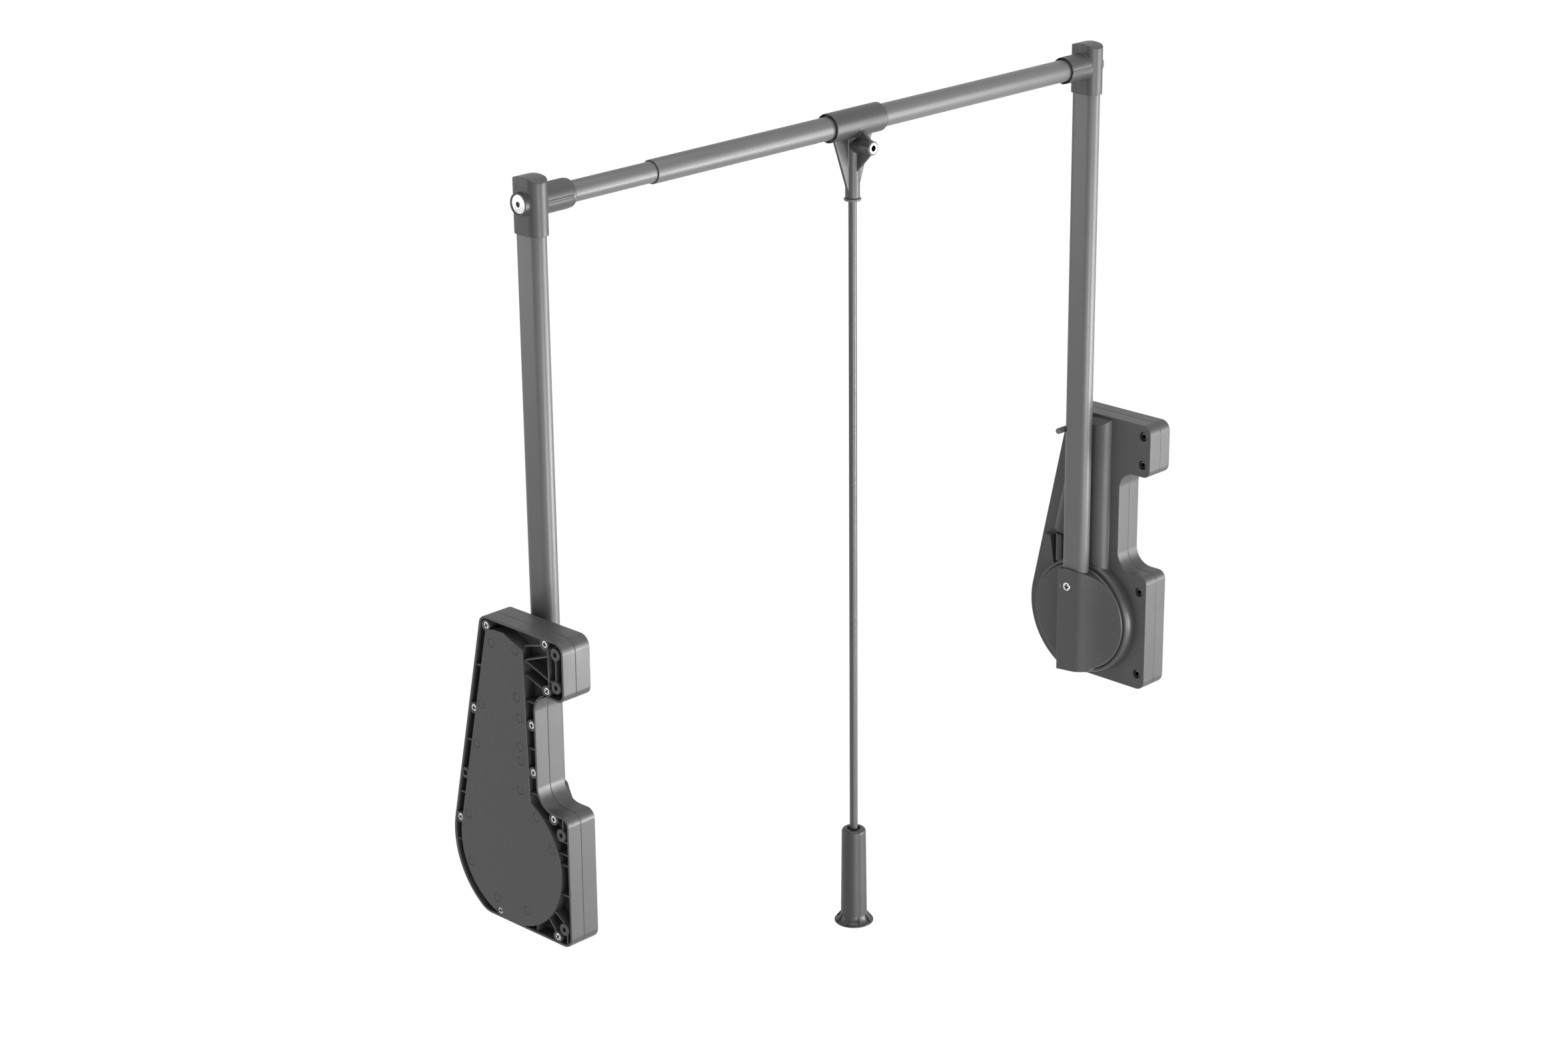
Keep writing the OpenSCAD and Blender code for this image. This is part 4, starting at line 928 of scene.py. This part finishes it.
def loose_parts(mesh):
    """Centres of the separate parts of a mesh, in its own order."""
    bm = bmesh.new()
    bm.from_mesh(mesh)
    bmesh.ops.remove_doubles(bm, verts=bm.verts, dist=WELD)
    centres, seen = [], set()
    for vert in bm.verts:
        if vert in seen:
            continue
        group, queue = [], [vert]
        seen.add(vert)
        while queue:
            here = queue.pop()
            group.append(here.co.copy())
            for edge in here.link_edges:
                other = edge.other_vert(here)
                if other not in seen:
                    seen.add(other)
                    queue.append(other)
        low = Vector(map(min, *group))
        high = Vector(map(max, *group))
        centres.append((low + high) / 2)
    bm.free()
    return centres


def place_screws(name, item, node, places):
    """Puts copies of a screw at places and turns, in the stead of a node."""
    finish(repeated(name, item, places, FINISHES[SLOT[node]]), node)


class CLOSETROD_OT_screws(Operator):
    """Build the cross head screws and the hexagon socket screws"""
    bl_idname = "closetrod.screws"
    bl_label = "Screws"

    def execute(self, context):
        for side in SIDES:
            self.case_screws(side)
            node = side + "_arm_screw"
            far, middle = span_of(side, node)[1:]
            item = cross_head(side + "_arm_screw_item", ARM_SCREW)
            places = [(from_wall(side, far, middle), inward(side))]
            place_screws(side + "_arm_screw_head", item, node, places)
            self.corner_screw(side)
        return {"FINISHED"}

    def case_screws(self, side):
        """The screws that join the two shells, seen from the wall."""
        node = side + "_case_screws"
        near = span_of(side, node)[0]
        item = cross_head(side + "_case_screw", CASE_SCREW)
        places = [(from_wall(side, near, centre), spun(outward(side), FIRST_SPIN + NEXT_SPIN * i))
                  for i, centre in enumerate(loose_parts(NODES[node].data))]
        place_screws(side + "_case_screw_set", item, node, places)

    def corner_screw(self, side):
        """The flanged screw that joins an arm to the rod."""
        node = side + "_corner_screw"
        near, _, middle = span_of(side, node)
        disc_r, disc_h, edge, chamfer = 9.5, 2.6, 0.5, 0.4
        pad_r, step_h = 4.4, 0.35
        shank_r, length, tip = 4, 40.2, 0.7
        key_r, key_depth, key_end = 3.2, 1.8, 2.9
        bm = turned(bmesh.new(), [
            (0, 0), (pad_r, 0), *arc((pad_r, -step_h), step_h, 90, 20, 2),
            *arc((disc_r - edge, -2 * edge), edge, 90, 0, 3), (disc_r, edge - disc_h),
            (disc_r - chamfer, -disc_h), (shank_r, -disc_h), (shank_r, tip - length),
            (shank_r - tip, -length), (0, -length)], ROUND_STEPS)
        key = turned(bmesh.new(), [
            (0, CUT_OVERRUN), (key_r, CUT_OVERRUN), (key_r, -key_depth), (0, -key_end)], KEY_SIDES)
        cutter = cutter_of(key, "key")
        item = soft_shaded(bm, side + "_corner_screw_item", [cutter])
        bpy.data.objects.remove(cutter)
        # Painted shade: the faces of the hexagon socket are darkened to 0.8 through the recess attribute
        painted_shade(item, key_r, -key_end, -step_h / 2, 0.8)
        places = [(from_wall(side, near, middle), outward(side))]
        place_screws(side + "_corner_screw_head", item, node, places)


class CLOSETROD_OT_bushings(Operator):
    """Build the steel bushings of the wall screws"""
    bl_idname = "closetrod.bushings"
    bl_label = "Wall bushings"

    def execute(self, context):
        bore, body_r, chamfer = 2.6, 4, 0.3
        lip_r, lip_h, lip_edge = 4.8, 2.4, 2
        for side in SIDES:
            node = side + "_wall_bushings"
            low, high = (distance * TO_MM for distance in span_of(side, node)[:2])
            section = [(bore, low + chamfer), (bore + chamfer, low), (body_r - chamfer, low),
                       (body_r, low + chamfer), (body_r, high - lip_h), (lip_r, high - lip_h),
                       *arc((lip_r - lip_edge, high - lip_edge), lip_edge, 0, 90, 6), (bore, high - chamfer)]
            item = soft_shaded(turned(bmesh.new(), section, BUSHING_STEPS, closed=True),
                               side + "_bushing_item")
            # Painted shade: the whole bushing is darkened to 0.9, as it lies in the shade of its recess
            painted_shade(item, 2 * lip_r, 0, 2 * high, 0.9)
            places = [(from_wall(side, 0, centre), inward(side)) for centre in loose_parts(NODES[node].data)]
            place_screws(side + "_wall_bushing_set", item, node, places)
        return {"FINISHED"}


# Hubs, arms and caps

ARM_WALL = 1.6 * MM
ROD_WALL = 1.5 * MM
TUBE_EDGE = 0.3 * MM
OUTER_EDGE = 0.4 * MM


class CLOSETROD_OT_hubs(Operator):
    """Build the turning hubs with rounded edges"""
    bl_idname = "closetrod.hubs"
    bl_label = "Hubs"

    def execute(self, context):
        grain = context.scene.closet_rod_sizes.mould_grain
        for side in SIDES:
            finish(remoulded(side + "_hub_cover", side + "_hub", grain), side + "_hub")
        return {"FINISHED"}


class CLOSETROD_OT_arms(Operator):
    """Build the arm tubes and the corner caps"""
    bl_idname = "closetrod.arms"
    bl_label = "Arms"

    def execute(self, context):
        grain = context.scene.closet_rod_sizes.mould_grain
        for side in SIDES:
            node = side + "_arm_tube"
            low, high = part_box(node)
            size = high - low
            finish(tube(side + "_arm", (size.x, size.y, ARM_WALL, size.z, TUBE_EDGE), (low + high) / 2,
                        Euler()), node)
            finish(remoulded(side + "_cap", side + "_corner_cap", grain), side + "_corner_cap")
        return {"FINISHED"}


# Rod

class CLOSETROD_OT_rod(Operator):
    """Build the two tubes of the rod and the bush between them"""
    bl_idname = "closetrod.rod"
    bl_label = "Telescopic rod"

    def execute(self, context):
        for node, edge in (("outer_tube", OUTER_EDGE), ("inner_tube", TUBE_EDGE)):
            low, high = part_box(node)
            size = high - low
            finish(tube(node + "_skin", (size.y, size.z, ROD_WALL, size.x, edge), (low + high) / 2,
                        inward("left")), node)
        self.bush()
        return {"FINISHED"}

    def bush(self):
        """The bush that holds the inner tube in its cap, with a collar and a lip at its open end."""
        near, far, middle = span_of("left", "reducer_bush")
        end = (far - near) * TO_MM
        bore, sleeve_r, collar_r, lip_r = 10.85, 12.5, 13.7, 14.8
        collar_length, lip_length, lip_edge, nose, mouth, chamfer = 7.8, 4.6, 0.6, 1.6, 0.5, 0.3
        section = [
            (bore, chamfer), (bore + chamfer, 0), (sleeve_r - chamfer, 0), (sleeve_r, chamfer),
            (sleeve_r, end - collar_length), (collar_r, end - collar_length), (collar_r, end - lip_length),
            *arc((lip_r - lip_edge, end - lip_length + chamfer), lip_edge, -60, 0, 2),
            *arc((lip_r - nose, end - nose), nose, 0, 80),
            (bore + lip_edge, end), *arc((bore + lip_edge, end - mouth), mouth, 90, 180, 3)]
        bush = soft_shaded(turned(bmesh.new(), section, ROUND_STEPS, closed=True), "bush")
        place = Matrix.Translation(from_wall("left", near, middle))
        bush.data.transform(place @ inward("left").to_matrix().to_4x4())
        finish(bush, "reducer_bush")


# Handle

HANDLE_X = (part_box("pull_rod")[0].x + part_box("pull_rod")[1].x) / 2
ROD_STEPS, BARREL_STEPS = 48, 96


def stand(section, name, steps=ROD_STEPS, closed=False):
    """A turned piece on the axis of the pull rod, its heights measured from the pivots."""
    piece = soft_shaded(turned(bmesh.new(), section, steps, closed), name)
    piece.data.transform(Matrix.Translation((HANDLE_X, 0, 0)))
    return piece


def heights(node):
    """The lowest and highest place of a node in millimetres, and its radius."""
    low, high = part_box(node)
    return low.z * TO_MM, high.z * TO_MM, (high.x - low.x) / 2 * TO_MM


class CLOSETROD_OT_handle(Operator):
    """Build the sliding bracket, the pull rod, its collar and the grip"""
    bl_idname = "closetrod.handle"
    bl_label = "Handle"

    def execute(self, context):
        sizes = context.scene.closet_rod_sizes
        finish(remoulded("bracket", "pull_bracket", sizes.mould_grain), "pull_bracket")
        self.flange()
        self.rod()
        self.barrel()
        self.ribs(sizes.grip_ribs)
        return {"FINISHED"}

    def flange(self):
        """The round ring at the top of the pull rod."""
        low, high, r = heights("rod_collar")
        bore, edge, chamfer = 4.6, 1.2, 0.2
        finish(stand([
            (bore, low + chamfer), (bore + chamfer, low), *arc((r - edge, low + edge), edge, -90, 0),
            *arc((r - edge, high - edge), edge, 0, 90), (bore + chamfer, high), (bore, high - chamfer)],
            "flange", closed=True), "rod_collar")

    def rod(self):
        """The pull rod with its thinner end in the bracket and the hole for the screw of the grip."""
        low, high, r = heights("pull_rod")
        shoulder = heights("rod_collar")[1]
        bore, bore_depth, mouth_r, end_r, chamfer, tip = 2.55, 14, 2.9, 3.3, 0.4, 0.6
        finish(stand([
            (bore, low + chamfer), (mouth_r, low), (r - chamfer, low), (r, low + chamfer), (r, shoulder),
            (end_r, shoulder), (end_r, high - tip), (end_r - tip, high), (0, high), (0, low + bore_depth),
            (bore, low + bore_depth)], "thin_rod"), "pull_rod")

    def barrel(self):
        """The barrel of the grip, open below, with its flare."""
        base, top, flare_r = heights("grip")
        height = top - base
        chamfer, hollow_r, hollow_depth, screw_r, screw_top = 0.4, 12, 48, 2.7, 60
        rod_r, rod_top, mouth_r, mouth = 4.6, 112, 7.5, 0.6
        edge, lip, flare_run, flare_rise, foot = 0.55, 0.35, 7.0, 9.4, 1.6
        top_r, shoulder = 13.75, 4
        section = [(hollow_r, chamfer), (hollow_r + chamfer, 0), (flare_r - lip, 0),
                   *arc((flare_r - edge, edge), edge, -70, 0, 3),
                   *arc((flare_r - edge, 2 * edge), edge, 0, 60, 2)]
        section += [(flare_r - lip - flare_run * math.sin(math.radians(t)),
                     foot + flare_rise * (1 - math.cos(math.radians(t)))) for t in range(10, 91, 10)]
        section += [*arc((top_r - shoulder, height - shoulder), shoulder, 0, 90, 8),
                    *arc((mouth_r + mouth, height - mouth), mouth, 90, 180, 3), (mouth_r, rod_top + chamfer),
                    (mouth_r - chamfer, rod_top), (rod_r, rod_top), (rod_r, screw_top), (screw_r, screw_top),
                    (screw_r, hollow_depth), (hollow_r, hollow_depth)]
        section = [(radius, base + rise) for radius, rise in section]
        finish(stand(section, "barrel", BARREL_STEPS, closed=True), "grip")

    def ribs(self, count):
        """The ribs on the flare of the grip."""
        base = heights("grip")[0] * MM
        outline = [(14.2, 1.4), (21.5, 0.9), (21.6, 2.2), (15.1, 10.6), (14.2, 10.8)]
        half, edge, first = 0.6, 0.25 * MM, 0.39
        rib = plate(bmesh.new(), outline, -half, half)
        round_edges(rib, edge, lambda rib_edge: True)
        turns = [2 * math.pi * (i + first) / count for i in range(count)]
        places = [((HANDLE_X, 0, base), (0, 0, turn)) for turn in turns]
        finish(repeated("grip_ribs", soft_shaded(rib, "rib_item"), places, FINISHES["dark_grip"]), "grip")


# Springs

SPRING_WIRE = 1.7 * MM
TURN_STEPS = 24


class CLOSETROD_OT_springs(Operator):
    """Wind the lift springs"""
    bl_idname = "closetrod.springs"
    bl_label = "Lift springs"

    def execute(self, context):
        turns = context.scene.closet_rod_sizes.spring_turns
        tree = coil_tree()
        for side in SIDES:
            node = side + "_lift_spring"
            low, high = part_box(node)
            middle = (low + high) / 2
            made = grown(side + "_coil", tree, {
                "Turns": float(turns), "Radius": (high.x - low.x) / 2 - SPRING_WIRE,
                "Height": high.z - low.z - 2 * SPRING_WIRE, "Wire": SPRING_WIRE, "Steps": TURN_STEPS,
                "Material": FINISHES["spring_steel"]})
            made.data.transform(Matrix.Translation((middle.x, middle.y, low.z + SPRING_WIRE)))
            made.data.materials.clear()
            made.data.materials.append(FINISHES["spring_steel"])
            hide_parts(node)
            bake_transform(made, side + "_housing", side + "_spring_rack", start=(middle.x, middle.y, high.z),
                     end=(middle.x, middle.y, low.z))
        return {"FINISHED"}


# Add-on

class CLOSETROD_PT_panel(Panel):
    """Lists the steps that build the closet rod"""
    bl_idname = "CLOSETROD_PT_panel"
    bl_label = "Closet Rod"
    bl_space_type = "VIEW_3D"
    bl_region_type = "UI"
    bl_category = "Closet Rod"

    def draw(self, context):
        for operator in STEPS:
            self.layout.operator(operator.bl_idname)
        for group in (getattr(context.scene, name) for name in GROUPS):
            for name in group.__annotations__:
                self.layout.prop(group, name)


GROUPS = {"closet_rod_look": ClosetRodLook, "closet_rod_stage": ClosetRodStage,
          "closet_rod_sizes": ClosetRodSizes}
STEPS = (CLOSETROD_OT_stage, CLOSETROD_OT_solids, CLOSETROD_OT_housings, CLOSETROD_OT_screws,
         CLOSETROD_OT_bushings, CLOSETROD_OT_hubs, CLOSETROD_OT_arms, CLOSETROD_OT_rod, CLOSETROD_OT_handle,
         CLOSETROD_OT_springs)
CLASSES = (*GROUPS.values(), *STEPS, CLOSETROD_PT_panel)


def register():
    for cls in CLASSES:
        bpy.utils.register_class(cls)
    for name, group in GROUPS.items():
        setattr(bpy.types.Scene, name, PointerProperty(type=group))


def unregister():
    for name in GROUPS:
        delattr(bpy.types.Scene, name)
    for cls in reversed(CLASSES):
        bpy.utils.unregister_class(cls)


def main():
    register()
    for operator in STEPS:
        group, name = operator.bl_idname.split(".")
        getattr(getattr(bpy.ops, group), name)()


if __name__ == "__main__":
    main()
